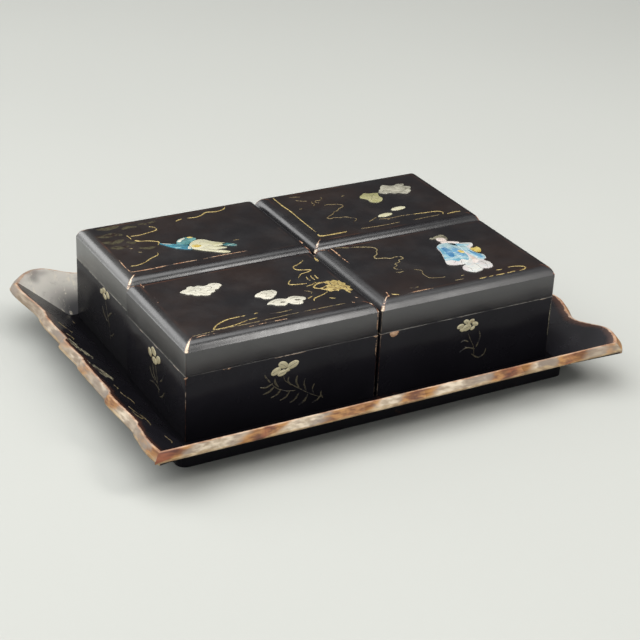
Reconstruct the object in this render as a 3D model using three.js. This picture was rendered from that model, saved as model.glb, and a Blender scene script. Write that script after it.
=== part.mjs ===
// A lacquered games box: four lidded counter boxes standing two by two in a shallow tray
// with canted, lobed sides and a low plinth. Shell figures are let on to the lids.
// Millimetres, +Z up. The origin is under the middle of the tray, on the surface it stands on.
import * as THREE from 'three';

// Counter boxes
const BOX_LENGTH = 124.2;
const BOX_DEPTH = 84.7;
const BOX_GAP = 1.6;
const ROW_SLIP = 1.0;
const JOINT_HEIGHT = 42.4;
const WALL = 4.0;
const BOX_FLOOR = 4.0;
const BOX_CORNER_RADIUS = 1.2;
const LIP_THICKNESS = 2.0;
const LIP_RISE = 5.0;

// Lids
const LID_CLEARANCE = 0.35;
const LID_RAIL_HEIGHT = 14.7;
const LID_PLUMB_EDGE = 1.0;
const LID_ROUND_WIDTH = 6.0;
const LID_ROUND_HEIGHT = 4.2;
const INLAY_THICKNESS = 0.6;

// Tray
const TRAY_MARGIN = 3.0;
const TRAY_FLOOR = 5.0;
const CANT = THREE.MathUtils.degToRad(34);
const SIDE_THICKNESS = 6.5;
const RIM_EASE = 0.9;
const RIM_EASE_TURN = 0.3 * RIM_EASE;
const FOOT_HEIGHT = 6.5;
const FOOT_WIDTH = 15.0;
const FOOT_REACH = 8.0;
const FOOT_CORNER_RADIUS = 6.0;
const GLUE_LINE = 0.1;

// Lobed rims of the tray sides, as [distance from the middle of the side, width up the slant].
// Seen from outside, left to right. A lobe that rises in a short run starts from a crease.
const CORNER_SLANT = 32.7;
const CREASED_RISE = 16.0;
const RIM_STATION = 4.0;
const FRONT_RIM = [
  [-144, 37], [-110, 29.5], [-96, 32.5], [-83, 31.4], [-78, 34.2], [-27, 31.2],
  [-22, 33.2], [14, 31.2], [19, 33.4], [84, 31.2], [90, 34.2], [115, 29.5], [144, 36.5],
];
const RIGHT_RIM = [
  [-105, 36.3], [-75, 28.7], [-52, 34.5], [-16, 31], [-11, 33.4], [26, 30.8], [31, 33], [72, 28.5], [103, 36.5],
];
const BACK_RIM = [
  [-144, 37], [-110, 30], [-98, 33.5], [-60, 31.2], [-55, 33.6], [-5, 31.2], [0, 33.4],
  [52, 31], [57, 33.4], [112, 30.5], [143, 39],
];
const LEFT_RIM = [
  [-104, 35.5], [-74, 28], [-60, 31], [-33, 29], [-26, 33.2], [-3, 30.2],
  [3, 32], [41, 30.4], [49, 33.4], [81, 29.4], [88, 32], [104, 34.2],
];

// Sizes that follow
const groupLength = 2 * BOX_LENGTH + BOX_GAP;
const groupDepth = 2 * BOX_DEPTH + BOX_GAP;
const floorLength = groupLength + 2 * TRAY_MARGIN;
const floorDepth = groupDepth + 2 * TRAY_MARGIN;
const floorTop = FOOT_HEIGHT + TRAY_FLOOR;
const lidRail = WALL - LID_CLEARANCE;
const lidBoard = LID_PLUMB_EDGE + LID_ROUND_HEIGHT;

const lacquer = { color: 0x15100f, roughness: 0.28, metalness: 0.0 };
const lidLacquer = { color: 0x1d1311, roughness: 0.3, metalness: 0.0 };
const rimLacquer = { color: 0x9c6b4c, roughness: 0.5, metalness: 0.1 };
const shell = { color: 0xece7d8, roughness: 0.3, metalness: 0.0 };
const blueShell = { color: 0x5fa3bd, roughness: 0.3, metalness: 0.0 };

const part = new THREE.Group();

function addMesh(parent, name, geometry, finish, x = 0, y = 0, z = 0) {
  const mesh = new THREE.Mesh(geometry, new THREE.MeshStandardMaterial(finish));
  mesh.name = name;
  mesh.position.set(x, y, z);
  parent.add(mesh);
  return mesh;
}

// A board of plain rectangular shape, standing on z = 0 and centred in plan.
function board(length, depth, height) {
  return new THREE.BoxGeometry(length, depth, height).translate(0, 0, height / 2);
}

// One side of a mitred frame, extruded upwards, with its half of each rounded outer corner.
// Its outer face lies on y = 0, and the frame is behind it.
function mitredSide(length, thickness, height, radius) {
  const outer = length / 2 - GLUE_LINE / 2;
  const inner = outer - thickness;
  const centre = outer - radius;
  const plan = new THREE.Shape();
  plan.moveTo(inner, thickness);
  plan.lineTo(-inner, thickness);
  plan.absarc(-centre, radius, radius, Math.PI * 1.25, Math.PI * 1.5, false);
  plan.absarc(centre, radius, radius, Math.PI * 1.5, Math.PI * 1.75, false);
  plan.closePath();
  return new THREE.ExtrudeGeometry(plan, { depth: height, bevelEnabled: false, curveSegments: 2 });
}

// A solid through a row of convex sections that all have the same number of points.
function loft(sections) {
  const count = sections[0].length;
  const last = (sections.length - 1) * count;
  const index = [];
  for (let s = 0; s < last; s += count) {
    for (let i = 0; i < count; i += 1) {
      const next = (i + 1) % count;
      index.push(s + i, s + next, s + count + next);
      index.push(s + i, s + count + next, s + count + i);
    }
  }
  for (let i = 1; i < count - 1; i += 1) {
    index.push(0, i + 1, i);
    index.push(last, last + i, last + i + 1);
  }
  const geometry = new THREE.BufferGeometry().setFromPoints(sections.flat());
  geometry.setIndex(index);
  return geometry;
}

function roundedRectangle(length, depth, radius, z) {
  const steps = 3;
  const points = [];
  for (const [sideX, sideY, start] of [[1, 1, 0], [-1, 1, 1], [-1, -1, 2], [1, -1, 3]]) {
    for (let i = 0; i <= steps; i += 1) {
      const angle = (start + i / steps) * Math.PI / 2;
      const x = sideX * (length / 2 - radius) + radius * Math.cos(angle);
      const y = sideY * (depth / 2 - radius) + radius * Math.sin(angle);
      points.push(new THREE.Vector3(x, y, z));
    }
  }
  return points;
}

// The lid's top board: a plumb edge below, then a quarter-round run over to the flat.
function lidTop(length, depth) {
  const steps = 6;
  const sections = [roundedRectangle(length, depth, BOX_CORNER_RADIUS, 0)];
  for (let i = 0; i <= steps; i += 1) {
    const turn = (i / steps) * Math.PI / 2;
    const inset = LID_ROUND_WIDTH * (1 - Math.cos(turn));
    const z = LID_PLUMB_EDGE + LID_ROUND_HEIGHT * Math.sin(turn);
    sections.push(roundedRectangle(length - 2 * inset, depth - 2 * inset, BOX_CORNER_RADIUS, z));
  }
  return loft(sections);
}

// A frame of one piece with an open middle, as the locating lip inside a box.
function ring(length, depth, thickness, height) {
  const plan = new THREE.Shape();
  plan.moveTo(-length / 2, -depth / 2);
  plan.lineTo(length / 2, -depth / 2);
  plan.lineTo(length / 2, depth / 2);
  plan.lineTo(-length / 2, depth / 2);
  plan.closePath();
  const opening = new THREE.Path();
  opening.moveTo(-length / 2 + thickness, -depth / 2 + thickness);
  opening.lineTo(-length / 2 + thickness, depth / 2 - thickness);
  opening.lineTo(length / 2 - thickness, depth / 2 - thickness);
  opening.lineTo(length / 2 - thickness, -depth / 2 + thickness);
  opening.closePath();
  plan.holes.push(opening);
  return new THREE.ExtrudeGeometry(plan, { depth: height, bevelEnabled: false });
}

// Stations of a lobed rim, corner to corner: [distance from the middle, width up the slant].
function rimStations(rim, halfRun) {
  const swell = (t) => Math.sin(t * Math.PI / 2);
  const drop = (t) => 1 - Math.cos(t * Math.PI / 2);
  const smooth = (t) => (1 - Math.cos(t * Math.PI)) / 2;
  const turns = [[-halfRun, CORNER_SLANT], ...rim, [halfRun, CORNER_SLANT]];
  const last = turns.length - 2;
  const stations = [];
  for (let i = 0; i <= last; i += 1) {
    const [fromAt, fromSlant] = turns[i];
    const [toAt, toSlant] = turns[i + 1];
    const run = toAt - fromAt;
    const steps = Math.max(2, Math.round(run / RIM_STATION));
    const creased = i === 0 || (toSlant > fromSlant && run < CREASED_RISE);
    const level = i === last ? drop : smooth;
    const ease = creased ? swell : level;
    for (let k = 0; k < steps; k += 1) {
      const t = k / steps;
      stations.push([fromAt + run * t, fromSlant + (toSlant - fromSlant) * ease(t)]);
    }
  }
  stations.push(turns[turns.length - 1]);
  return stations;
}

// Section of a tray side, as [outward from the floor's edge, height over the floor's top].
// It stands against the edge of the floor, flush below, and both edges of the rim are eased.
function sideSection(slant) {
  const up = [Math.cos(CANT), Math.sin(CANT)];
  const out = [Math.sin(CANT), -Math.cos(CANT)];
  const at = (along, through) => [
    along * up[0] + through * out[0],
    along * up[1] + through * out[1],
  ];
  const underFoot = (SIDE_THICKNESS * Math.cos(CANT) - TRAY_FLOOR) / Math.sin(CANT);
  return [
    [0, 0],
    at(slant - RIM_EASE, 0),
    at(slant - RIM_EASE_TURN, RIM_EASE_TURN),
    at(slant, RIM_EASE),
    at(slant, SIDE_THICKNESS - RIM_EASE),
    at(slant - RIM_EASE_TURN, SIDE_THICKNESS - RIM_EASE_TURN),
    at(slant - RIM_EASE, SIDE_THICKNESS),
    at(underFoot, SIDE_THICKNESS),
    [0, -TRAY_FLOOR],
  ];
}

// A canted tray side with mitred ends. Along X, with the floor's edge on y = 0 and outwards to -Y.
function traySide(floorRun, rim) {
  const corner = sideSection(CORNER_SLANT);
  const reach = corner.map(([outward]) => floorRun / 2 + outward - GLUE_LINE / 2);
  const halfRun = reach[3];
  const sections = rimStations(rim, halfRun).map(([at, slant]) => {
    const share = at / halfRun;
    return sideSection(slant).map(([outward, z], i) => new THREE.Vector3(share * reach[i], -outward, z));
  });
  return loft(sections);
}

// Puts one piece on each of the four sides of a rectangle of the given size, each facing outwards.
function fourSides(parent, length, depth, z, finish, sides) {
  const places = [
    { x: 0, y: -depth / 2, turn: 0 },
    { x: length / 2, y: 0, turn: 1 },
    { x: 0, y: depth / 2, turn: 2 },
    { x: -length / 2, y: 0, turn: 3 },
  ];
  places.forEach(({ x, y, turn }, i) => {
    const { name, geometry } = sides[i];
    const mesh = addMesh(parent, name, geometry, finish, x, y, z);
    mesh.rotation.z = turn * Math.PI / 2;
  });
}

function buildTray() {
  const tray = new THREE.Group();
  addMesh(tray, 'tray_floor', board(floorLength, floorDepth, TRAY_FLOOR), lacquer, 0, 0, FOOT_HEIGHT);
  fourSides(tray, floorLength, floorDepth, floorTop, rimLacquer, [
    { name: 'tray_side_front', geometry: traySide(floorLength, FRONT_RIM) },
    { name: 'tray_side_right', geometry: traySide(floorDepth, RIGHT_RIM) },
    { name: 'tray_side_back', geometry: traySide(floorLength, BACK_RIM) },
    { name: 'tray_side_left', geometry: traySide(floorDepth, LEFT_RIM) },
  ]);
  const footLength = groupLength + 2 * FOOT_REACH;
  const footDepth = groupDepth + 2 * FOOT_REACH;
  const rail = (length) => mitredSide(length, FOOT_WIDTH, FOOT_HEIGHT, FOOT_CORNER_RADIUS);
  fourSides(tray, footLength, footDepth, 0, lacquer, [
    { name: 'plinth_front', geometry: rail(footLength) },
    { name: 'plinth_right', geometry: rail(footDepth) },
    { name: 'plinth_back', geometry: rail(footLength) },
    { name: 'plinth_left', geometry: rail(footDepth) },
  ]);
  return tray;
}

// A box base: four mitred walls round a floor, and inside them the lip that locates the lid.
function buildBase(name) {
  const base = new THREE.Group();
  const insideLength = BOX_LENGTH - 2 * WALL;
  const insideDepth = BOX_DEPTH - 2 * WALL;
  addMesh(base, `${name}_box_floor`, board(insideLength, insideDepth, BOX_FLOOR), lacquer);
  const wall = (length) => mitredSide(length, WALL, JOINT_HEIGHT, BOX_CORNER_RADIUS);
  fourSides(base, BOX_LENGTH, BOX_DEPTH, 0, lacquer, [
    { name: `${name}_box_wall_front`, geometry: wall(BOX_LENGTH) },
    { name: `${name}_box_wall_right`, geometry: wall(BOX_DEPTH) },
    { name: `${name}_box_wall_back`, geometry: wall(BOX_LENGTH) },
    { name: `${name}_box_wall_left`, geometry: wall(BOX_DEPTH) },
  ]);
  const lipHeight = JOINT_HEIGHT - BOX_FLOOR + LIP_RISE;
  const lip = ring(insideLength, insideDepth, LIP_THICKNESS, lipHeight);
  addMesh(base, `${name}_box_lip`, lip, lacquer, 0, 0, BOX_FLOOR);
  return base;
}

// A lid: four mitred rails that stand on the walls and carry the round-edged top board.
function buildLid(name) {
  const lid = new THREE.Group();
  const rail = (length) => mitredSide(length, lidRail, LID_RAIL_HEIGHT, BOX_CORNER_RADIUS);
  fourSides(lid, BOX_LENGTH, BOX_DEPTH, 0, lacquer, [
    { name: `${name}_lid_rail_front`, geometry: rail(BOX_LENGTH) },
    { name: `${name}_lid_rail_right`, geometry: rail(BOX_DEPTH) },
    { name: `${name}_lid_rail_back`, geometry: rail(BOX_LENGTH) },
    { name: `${name}_lid_rail_left`, geometry: rail(BOX_DEPTH) },
  ]);
  addMesh(lid, `${name}_lid_top`, lidTop(BOX_LENGTH, BOX_DEPTH), lidLacquer, 0, 0, LID_RAIL_HEIGHT);
  return lid;
}

// An oval as a closed row of points, with no point twice.
function oval(x, y, halfLength, halfWidth, turn) {
  const steps = 10;
  const points = [];
  for (let i = 0; i < steps; i += 1) {
    const angle = (i / steps) * 2 * Math.PI;
    const along = halfLength * Math.cos(angle);
    const across = halfWidth * Math.sin(angle);
    points.push(new THREE.Vector2(
      x + along * Math.cos(turn) - across * Math.sin(turn),
      y + along * Math.sin(turn) + across * Math.cos(turn),
    ));
  }
  return points;
}

// A flat piece of shell with a smooth outline that starts at one of its tips, and oval openings.
// Points are in millimetres from the middle of the lid it lies on.
function shellPiece(outline, openings = []) {
  const shape = new THREE.Shape();
  const points = outline.map(([x, y]) => new THREE.Vector2(x, y));
  shape.moveTo(points[0].x, points[0].y);
  shape.splineThru([...points.slice(1), points[0]]);
  shape.holes = openings.map((opening) => new THREE.Path(oval(...opening)));
  return new THREE.ExtrudeGeometry(shape, {
    depth: INLAY_THICKNESS,
    bevelEnabled: false,
    curveSegments: 3,
  });
}

// A flying bird: one long wing stretched forward, the other raised, the tail behind.
const birdOutline = [
  [-22.5, -1], [-16, -4.5], [-13, -5], [-9.5, -1.5], [-6, -0.5], [-2, -1], [0.5, -4.5], [4, -7.5],
  [7.5, -12.5], [10.5, -18.5], [14.5, -20], [17.5, -24.5], [13.5, -25.5], [7.5, -22], [4.5, -22],
  [9, -27.5], [3.5, -26.5], [-3.5, -22], [-7, -17.5], [-12, -15.5], [-16.5, -12], [-19, -7],
];

// A robed figure: the head bowed to the left, a wide sleeve behind, the skirts spread at the feet.
const figureOutline = [
  [14.5, 24.5], [20, 26], [23.5, 25], [24.5, 21.5], [24, 15], [27, 9], [31, 6.5], [31.5, 2],
  [31.5, -4.5], [29, -13.5], [25, -14.5], [22.5, -14.5], [25.5, -18.5], [27.5, -23.5], [24.5, -27.5],
  [20, -27.5], [17, -26.5], [13, -29.5], [9, -27.5], [6.5, -21.5], [9.5, -16.5], [5.5, -14.5],
  [2, -13], [7, 0], [8, 4], [8.5, 12], [13, 15.5], [15, 20],
];

const longCloudOutline = [
  [-37.5, 18.5], [-31, 21.5], [-27.5, 21.5], [-24.5, 19.5], [-18.5, 20], [-14, 19.5], [-12.5, 15],
  [-15.5, 13.5], [-18.5, 9.5], [-22, 7.5], [-27, 7.5], [-28.5, 10.5], [-32, 9.5], [-33.5, 12], [-34, 15.5],
];
const smallCloudOutline = [
  [0.5, -4], [6, -0.5], [10.5, -1.5], [13.5, -5], [10, -9.5], [5, -10.5], [1.5, -8],
];
const loopedCloudOutline = [
  [2, -16], [7.5, -13.5], [12, -13.5], [15, -15], [18.5, -13.8], [23, -14.5], [25, -18],
  [24, -20], [22, -23.5], [18, -24], [15.5, -20.8], [12.5, -20.5], [9.5, -22], [7, -21], [5.5, -18.5],
];
const loopedCloudEyes = [[10.5, -17.6, 1.9, 1.0, -0.4], [20, -18.8, 2.1, 1.0, -0.4]];

const cartoucheOutline = [
  [19.5, 18], [23, 21], [26.5, 24.8], [30, 24.5], [34, 22], [38.5, 22], [41, 21.5], [41, 17.5],
  [42.5, 14], [39, 8.5], [34, 7.5], [31.5, 9.5], [27, 11], [23, 12.5], [19, 14.5],
];
const leafOutline = [
  [2.5, 13], [6.5, 16.8], [10.5, 17], [16, 15], [16, 11.5], [13.5, 8.5], [13, 6], [14.5, 4.5],
  [12, 2.5], [7.5, 2.5], [5, 3.5], [4.5, 7], [4, 10],
];

const inlaysByBox = {
  front_left: [
    ['inlay_cloud_long', shellPiece(longCloudOutline), shell],
    ['inlay_cloud_small', shellPiece(smallCloudOutline), shell],
    ['inlay_cloud_looped', shellPiece(loopedCloudOutline, loopedCloudEyes), shell],
  ],
  front_right: [['inlay_robed_figure', shellPiece(figureOutline), blueShell]],
  back_left: [['inlay_bird', shellPiece(birdOutline), blueShell]],
  back_right: [
    ['inlay_cartouche', shellPiece(cartoucheOutline), shell],
    ['inlay_leaf', shellPiece(leafOutline), shell],
  ],
};

// The boxes stand two by two on the tray floor. The back row has slid a little to the right.
function buildBox(name, column, row) {
  const box = new THREE.Group();
  const x = column * (BOX_LENGTH + BOX_GAP) / 2 + row * ROW_SLIP;
  const y = row * (BOX_DEPTH + BOX_GAP) / 2;
  box.position.set(x, y, floorTop);
  box.add(buildBase(name));
  const lid = buildLid(name);
  lid.position.z = JOINT_HEIGHT;
  for (const [inlayName, geometry, finish] of inlaysByBox[name]) {
    addMesh(lid, inlayName, geometry, finish, 0, 0, LID_RAIL_HEIGHT + lidBoard);
  }
  box.add(lid);
  return box;
}

part.add(buildTray());
part.add(buildBox('front_left', -1, -1));
part.add(buildBox('front_right', 1, -1));
part.add(buildBox('back_left', -1, 1));
part.add(buildBox('back_right', 1, 1));

export default part;
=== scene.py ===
# A lacquered games box: four lidded counter boxes in a shallow tray with canted, lobed sides.
# Black lacquer on wood, worn at the rim and the edges, with shell and gold let on to the lids and walls.
# Rims and ornament are measured in millimetres from the middle of the tray. What is built is in metres.
import math

import bmesh
import bpy
from mathutils import Matrix, Vector, noise


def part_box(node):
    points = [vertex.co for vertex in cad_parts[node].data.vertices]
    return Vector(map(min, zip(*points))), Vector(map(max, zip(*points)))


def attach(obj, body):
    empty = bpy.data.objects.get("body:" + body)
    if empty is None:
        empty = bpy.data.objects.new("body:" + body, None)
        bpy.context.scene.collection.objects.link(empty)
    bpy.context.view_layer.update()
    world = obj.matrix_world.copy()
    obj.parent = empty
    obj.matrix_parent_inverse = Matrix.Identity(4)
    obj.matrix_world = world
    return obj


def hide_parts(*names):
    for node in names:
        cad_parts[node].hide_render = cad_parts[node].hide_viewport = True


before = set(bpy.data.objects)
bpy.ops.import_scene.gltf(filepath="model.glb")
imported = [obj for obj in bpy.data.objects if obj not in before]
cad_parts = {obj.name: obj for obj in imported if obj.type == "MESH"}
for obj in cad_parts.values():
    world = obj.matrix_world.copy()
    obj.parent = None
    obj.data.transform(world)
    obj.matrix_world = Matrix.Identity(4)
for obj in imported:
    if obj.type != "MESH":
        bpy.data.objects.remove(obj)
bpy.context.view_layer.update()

MM = 0.001

# The camera looks over the near left corner of the tray, from a metre away and 27 degrees up, through a
# long lens that keeps the boxes' edges nearly parallel.
CAMERA_PLACE = (-0.4644, -0.8238, 0.5068)
CAMERA_AZIMUTH = 29.79
CAMERA_ELEVATION = 27.08
CAMERA_ROLL = 2.64
LENS = 94.0
SENSOR = 36.0

camera_data = bpy.data.cameras.new("camera")
camera_data.lens = LENS
camera_data.sensor_width = SENSOR
camera = bpy.data.objects.new("camera", camera_data)
turn = Matrix.Rotation(math.radians(-CAMERA_AZIMUTH), 4, "Z")
tilt = Matrix.Rotation(math.radians(90 - CAMERA_ELEVATION), 4, "X")
roll = Matrix.Rotation(math.radians(CAMERA_ROLL), 4, "Z")
camera.matrix_world = Matrix.Translation(CAMERA_PLACE) @ turn @ tilt @ roll
bpy.context.collection.objects.link(camera)
bpy.context.scene.camera = camera
bpy.context.scene.view_settings.view_transform = "Standard"


# The studio: a pale grey-green paper floor under one large soft light, in a pale room with a dark
# corner behind on the right. One light behind on the left and a tall narrow one in front show only in
# gloss. Two fills, behind and in front, light only what is matt and give the shadow its edge.
FLOOR_SIZE = 9.0
PAPER_GRAIN = 900.0
PAPER_ROUGHNESS = 0.9
PAPER_SHINE = 0.1
FLOOR_COLOUR = (0.509, 0.519, 0.497)
ROOM_COLOUR = (0.46, 0.465, 0.45)
DARK_COLOUR = (0.062, 0.056, 0.050)
DARK_CORNER = (0.57, 0.80, 0.15)
DARK_FROM = 0.28
DARK_TO = 0.74
WHITE = (1.0, 1.0, 1.0)
SOFT_WHITE = (1.0, 0.995, 0.98)
WARM_WHITE = (1.0, 0.975, 0.94)


def add_node(tree, kind, inputs, **settings):
    made = tree.nodes.new("ShaderNode" + kind)
    for name, value in settings.items():
        setattr(made, name, value)
    for socket, value in inputs.items():
        if isinstance(value, bpy.types.NodeSocket):
            tree.links.new(value, made.inputs[socket])
        else:
            made.inputs[socket].default_value = value
    return made


def fade(tree, value, start, end):
    """0 up to start and 1 from end on, or the other way round where end is the lower."""
    return add_node(
        tree,
        "MapRange",
        {"Value": value, "From Min": start, "From Max": end},
        interpolation_type="SMOOTHSTEP",
    ).outputs["Result"]


def grain(tree, place, scale, detail=3.0, roughness=0.5):
    return add_node(
        tree,
        "TexNoise",
        {"Vector": place, "Scale": scale, "Detail": detail, "Roughness": roughness},
    ).outputs["Fac"]


def mixed(tree, amount, first, second):
    def colour(value):
        return value if isinstance(value, bpy.types.NodeSocket) else (*value, 1.0)

    made = add_node(tree, "Mix", {0: amount, 6: colour(first), 7: colour(second)}, data_type="RGBA")
    return made.outputs[2]


def new_material(name):
    """An empty material: its node tree, its shader and the object's own coordinates."""
    material = bpy.data.materials.new(name)
    material.use_nodes = True
    tree = material.node_tree
    shader = tree.nodes["Principled BSDF"]
    place = tree.nodes.new("ShaderNodeTexCoord").outputs["Object"]
    return material, tree, shader, place


def roughen(tree, shader, height, strength, distance):
    bump = add_node(tree, "Bump", {"Height": height, "Strength": strength, "Distance": distance})
    tree.links.new(bump.outputs["Normal"], shader.inputs["Normal"])


def paper_floor():
    material, tree, shader, place = new_material("paper_floor")
    cloud = grain(tree, place, 1.6, 2.0)
    colour = mixed(tree, fade(tree, cloud, 0.3, 0.7), FLOOR_COLOUR, [0.97 * c for c in FLOOR_COLOUR])
    tree.links.new(colour, shader.inputs["Base Color"])
    shader.inputs["Roughness"].default_value = PAPER_ROUGHNESS
    shader.inputs["Specular IOR Level"].default_value = PAPER_SHINE
    roughen(tree, shader, grain(tree, place, PAPER_GRAIN, 2.0), 0.15, 0.0004)
    return material


half_floor = FLOOR_SIZE / 2
floor_mesh = bpy.data.meshes.new("studio_floor")
floor_corners = [(x * half_floor, y * half_floor, 0) for x, y in ((-1, -1), (1, -1), (1, 1), (-1, 1))]
floor_mesh.from_pydata(floor_corners, [], [(0, 1, 2, 3)])
floor_mesh.materials.append(paper_floor())
studio_floor = bpy.data.objects.new("studio_floor", floor_mesh)
bpy.context.collection.objects.link(studio_floor)


def soft_light(name, place, target, size, power, colour, lights="all"):
    """A rectangle of light. lights is all, matt or gloss: the surfaces that it is seen by."""
    light = bpy.data.lights.new(name, "AREA")
    light.shape = "RECTANGLE"
    light.size, light.size_y = size
    light.energy = power
    light.color = colour
    made = bpy.data.objects.new(name, light)
    made.location = place
    made.rotation_euler = (Vector(target) - Vector(place)).to_track_quat("-Z", "Y").to_euler()
    made.visible_diffuse = lights != "gloss"
    made.visible_glossy = lights != "matt"
    bpy.context.collection.objects.link(made)


soft_light("top_light", (-0.62, -0.05, 1.45), (-0.55, -0.02, 0), (1.85, 2.5), 34.0, SOFT_WHITE)
soft_light("back_light", (-1.15, 1.35, 0.60), (0, 0, 0.05), (1.7, 1.0), 14.0, WHITE, "gloss")
soft_light("back_fill", (-1.5, 2.1, 1.7), (-0.25, 0.5, 0), (2.0, 1.5), 18.5, WHITE, "matt")
soft_light("front_light", (0.69, -1.42, 0.68), (0, 0, 0.05), (0.42, 1.2), 14.5, WARM_WHITE, "gloss")
soft_light("front_fill", (0.9, -0.95, 1.35), (0.3, -0.3, 0), (0.5, 0.5), 12.5, WARM_WHITE, "matt")

world = bpy.data.worlds.new("studio_air")
bpy.context.scene.world = world
world.use_nodes = True
sky = world.node_tree
direction = sky.nodes.new("ShaderNodeTexCoord").outputs["Generated"]
toward = add_node(sky, "VectorMath", {0: direction, 1: DARK_CORNER}, operation="DOT_PRODUCT").outputs["Value"]
air_colour = mixed(sky, fade(sky, toward, DARK_FROM, DARK_TO), ROOM_COLOUR, DARK_COLOUR)
sky.links.new(air_colour, sky.nodes["Background"].inputs["Color"])


# The lacquer. Wood under many thin black coats, rubbed to a soft gloss that waves a little. It has
# worn brown, then tan, along the corners of the boxes and at the joint of lid and base.
WALL_GLOSS = 0.20
WALL_DEPTH = 1.215
SMEAR_GRAIN = 55.0
DUST_GRAIN = 900.0
WAVE_GRAIN = 22.0
WEAR_GRAIN = 260.0
LACQUER_BLACK = (0.0085, 0.0080, 0.0105)
WORN_BROWN = (0.105, 0.040, 0.022)
WORN_TAN = (0.34, 0.27, 0.21)
PALE_EDGE = (0.30, 0.285, 0.255)
EDGE_WEAR = 0.5 * MM
JOINT_EASE = 0.5 * MM
# Painted sheen: a grey laid on the left faces, standing in for the light that they reflect.
PAINTED_SHEEN_GREY = (0.15, 0.15, 0.145)
# How much painted sheen, a grey for the light a left face reflects, lies on a lid's left rail, and the share
# of that on the walls below.
LEFT_PAINTED_SHEEN = {"front_left": 0.22, "back_left": 0.75, "front_right": 0.1, "back_right": 0.1}
WALL_PAINTED_SHEEN_SHARE = 0.08
# How strongly the edge of the joint is painted pale on the front and on the left face of each box: partly
# rubbed wear, partly a painted highlight on the eased edge.
PALE_JOINT = {
    "front_left": (0.15, 0.6),
    "front_right": (0.45, 0.3),
    "back_left": (0.1, 0.95),
    "back_right": (0.1, 0.1),
}


def maths(tree, operation, first, second=0.0):
    return add_node(tree, "Math", {0: first, 1: second}, operation=operation).outputs[0]


def times(tree, first, second):
    return maths(tree, "MULTIPLY", first, second)


def plus(tree, first, second):
    return maths(tree, "ADD", first, second)


def minus(tree, first, second):
    return maths(tree, "SUBTRACT", first, second)


def scaled(tree, value, factor, start):
    """start, and factor times the value on top of it."""
    return add_node(tree, "Math", {0: value, 1: factor, 2: start}, operation="MULTIPLY_ADD").outputs[0]


def box_sizes(name):
    """Middle of a counter box in plan, and its half length and half depth."""
    low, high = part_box(name + "_lid_top")
    return (low + high) / 2, (high.x - low.x) / 2, (high.y - low.y) / 2


def lacquer_finish(tree, shader, place, gloss, depth, waves_height=0.0012):
    """Gloss, dust and the slow waves of a hand-rubbed coat. Returns a fine grain for wear to follow."""
    smear = grain(tree, place, SMEAR_GRAIN, 4.0, 0.6)
    dust = grain(tree, place, DUST_GRAIN, 2.0)
    rough = scaled(tree, fade(tree, smear, 0.35, 0.75), 0.10, gloss)
    tree.links.new(rough, shader.inputs["Roughness"])
    shader.inputs["IOR"].default_value = depth
    waves = plus(tree, grain(tree, place, WAVE_GRAIN, 2.0), times(tree, dust, 0.014))
    roughen(tree, shader, waves, 0.14, waves_height)
    return grain(tree, place, WEAR_GRAIN, 5.0, 0.65)


def box_lacquer(name, part, gloss, depth, joint, painted_sheen):
    """Lacquer of a box base or lid, worn along its upright corners and at the height of the joint."""
    centre, half_length, half_depth = box_sizes(name)
    material, tree, shader, place = new_material(name + part)
    fleck = lacquer_finish(tree, shader, place, gloss, depth)
    offset = add_node(tree, "VectorMath", {0: place, 1: centre}, operation="SUBTRACT").outputs[0]
    parts = add_node(tree, "SeparateXYZ", {0: offset}).outputs
    level = add_node(tree, "SeparateXYZ", {0: place}).outputs["Z"]
    to_end = minus(tree, half_length, maths(tree, "ABSOLUTE", parts["X"]))
    to_front = minus(tree, half_depth, maths(tree, "ABSOLUTE", parts["Y"]))
    to_corner = maths(tree, "MAXIMUM", to_end, to_front)
    to_joint = maths(tree, "ABSOLUTE", minus(tree, level, joint - 1.2 * JOINT_EASE))
    ragged = times(tree, fleck, 2.2)
    corner = times(tree, fade(tree, to_corner, 2.2 * EDGE_WEAR, 0.0), ragged)
    patch = grain(tree, place, 38.0, 3.0)
    seam = times(tree, fade(tree, to_joint, 1.0 * EDGE_WEAR, 0.0), ragged)
    seam = times(tree, seam, fade(tree, patch, 0.52, 0.64))
    wear = maths(tree, "MAXIMUM", corner, seam)
    rubbed = times(tree, wear, fade(tree, patch, 0.38, 0.62))
    tint = mixed(tree, fade(tree, patch, 0.3, 0.8), LACQUER_BLACK, [1.4 * c for c in LACQUER_BLACK])
    on_left = fade(tree, parts["X"], 1.0 * MM - half_length, -half_length)
    on_front = fade(tree, parts["Y"], 1.0 * MM - half_depth, -half_depth)
    front_share, left_share = PALE_JOINT[name]
    # Pale line on the eased edge at the joint: partly rubbed wear, partly a painted highlight where the edge
    # catches the light.
    pale_here = plus(tree, times(tree, on_left, left_share), times(tree, on_front, front_share))
    to_edge = maths(tree, "ABSOLUTE", minus(tree, level, joint - 0.5 * JOINT_EASE))
    pale_line = times(tree, fade(tree, to_edge, 0.7 * JOINT_EASE, 0.3 * JOINT_EASE), pale_here)
    pale_line = times(tree, pale_line, fade(tree, patch, 0.30, 0.52))
    # Painted sheen: grey on the left face, for the light that face reflects.
    if painted_sheen:
        tint = mixed(tree, times(tree, on_left, painted_sheen), tint, PAINTED_SHEEN_GREY)
    brown = mixed(tree, fade(tree, wear, 0.55, 1.0), tint, WORN_BROWN)
    tan = mixed(tree, fade(tree, rubbed, 0.55, 1.0), brown, WORN_TAN)
    edge = mixed(tree, times(tree, pale_line, fade(tree, fleck, 0.30, 0.55)), tan, PALE_EDGE)
    tree.links.new(edge, shader.inputs["Base Color"])
    return material


# The counter boxes. Four mitred walls round a floor, with a thin lip inside that locates the lid.
# The walls are visible boards with a rounded outer corner and softly eased edges at the joint.
CORNER_RADIUS = 1.2 * MM
CORNER_STEPS = 5
ALONG_STEPS = 12
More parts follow.
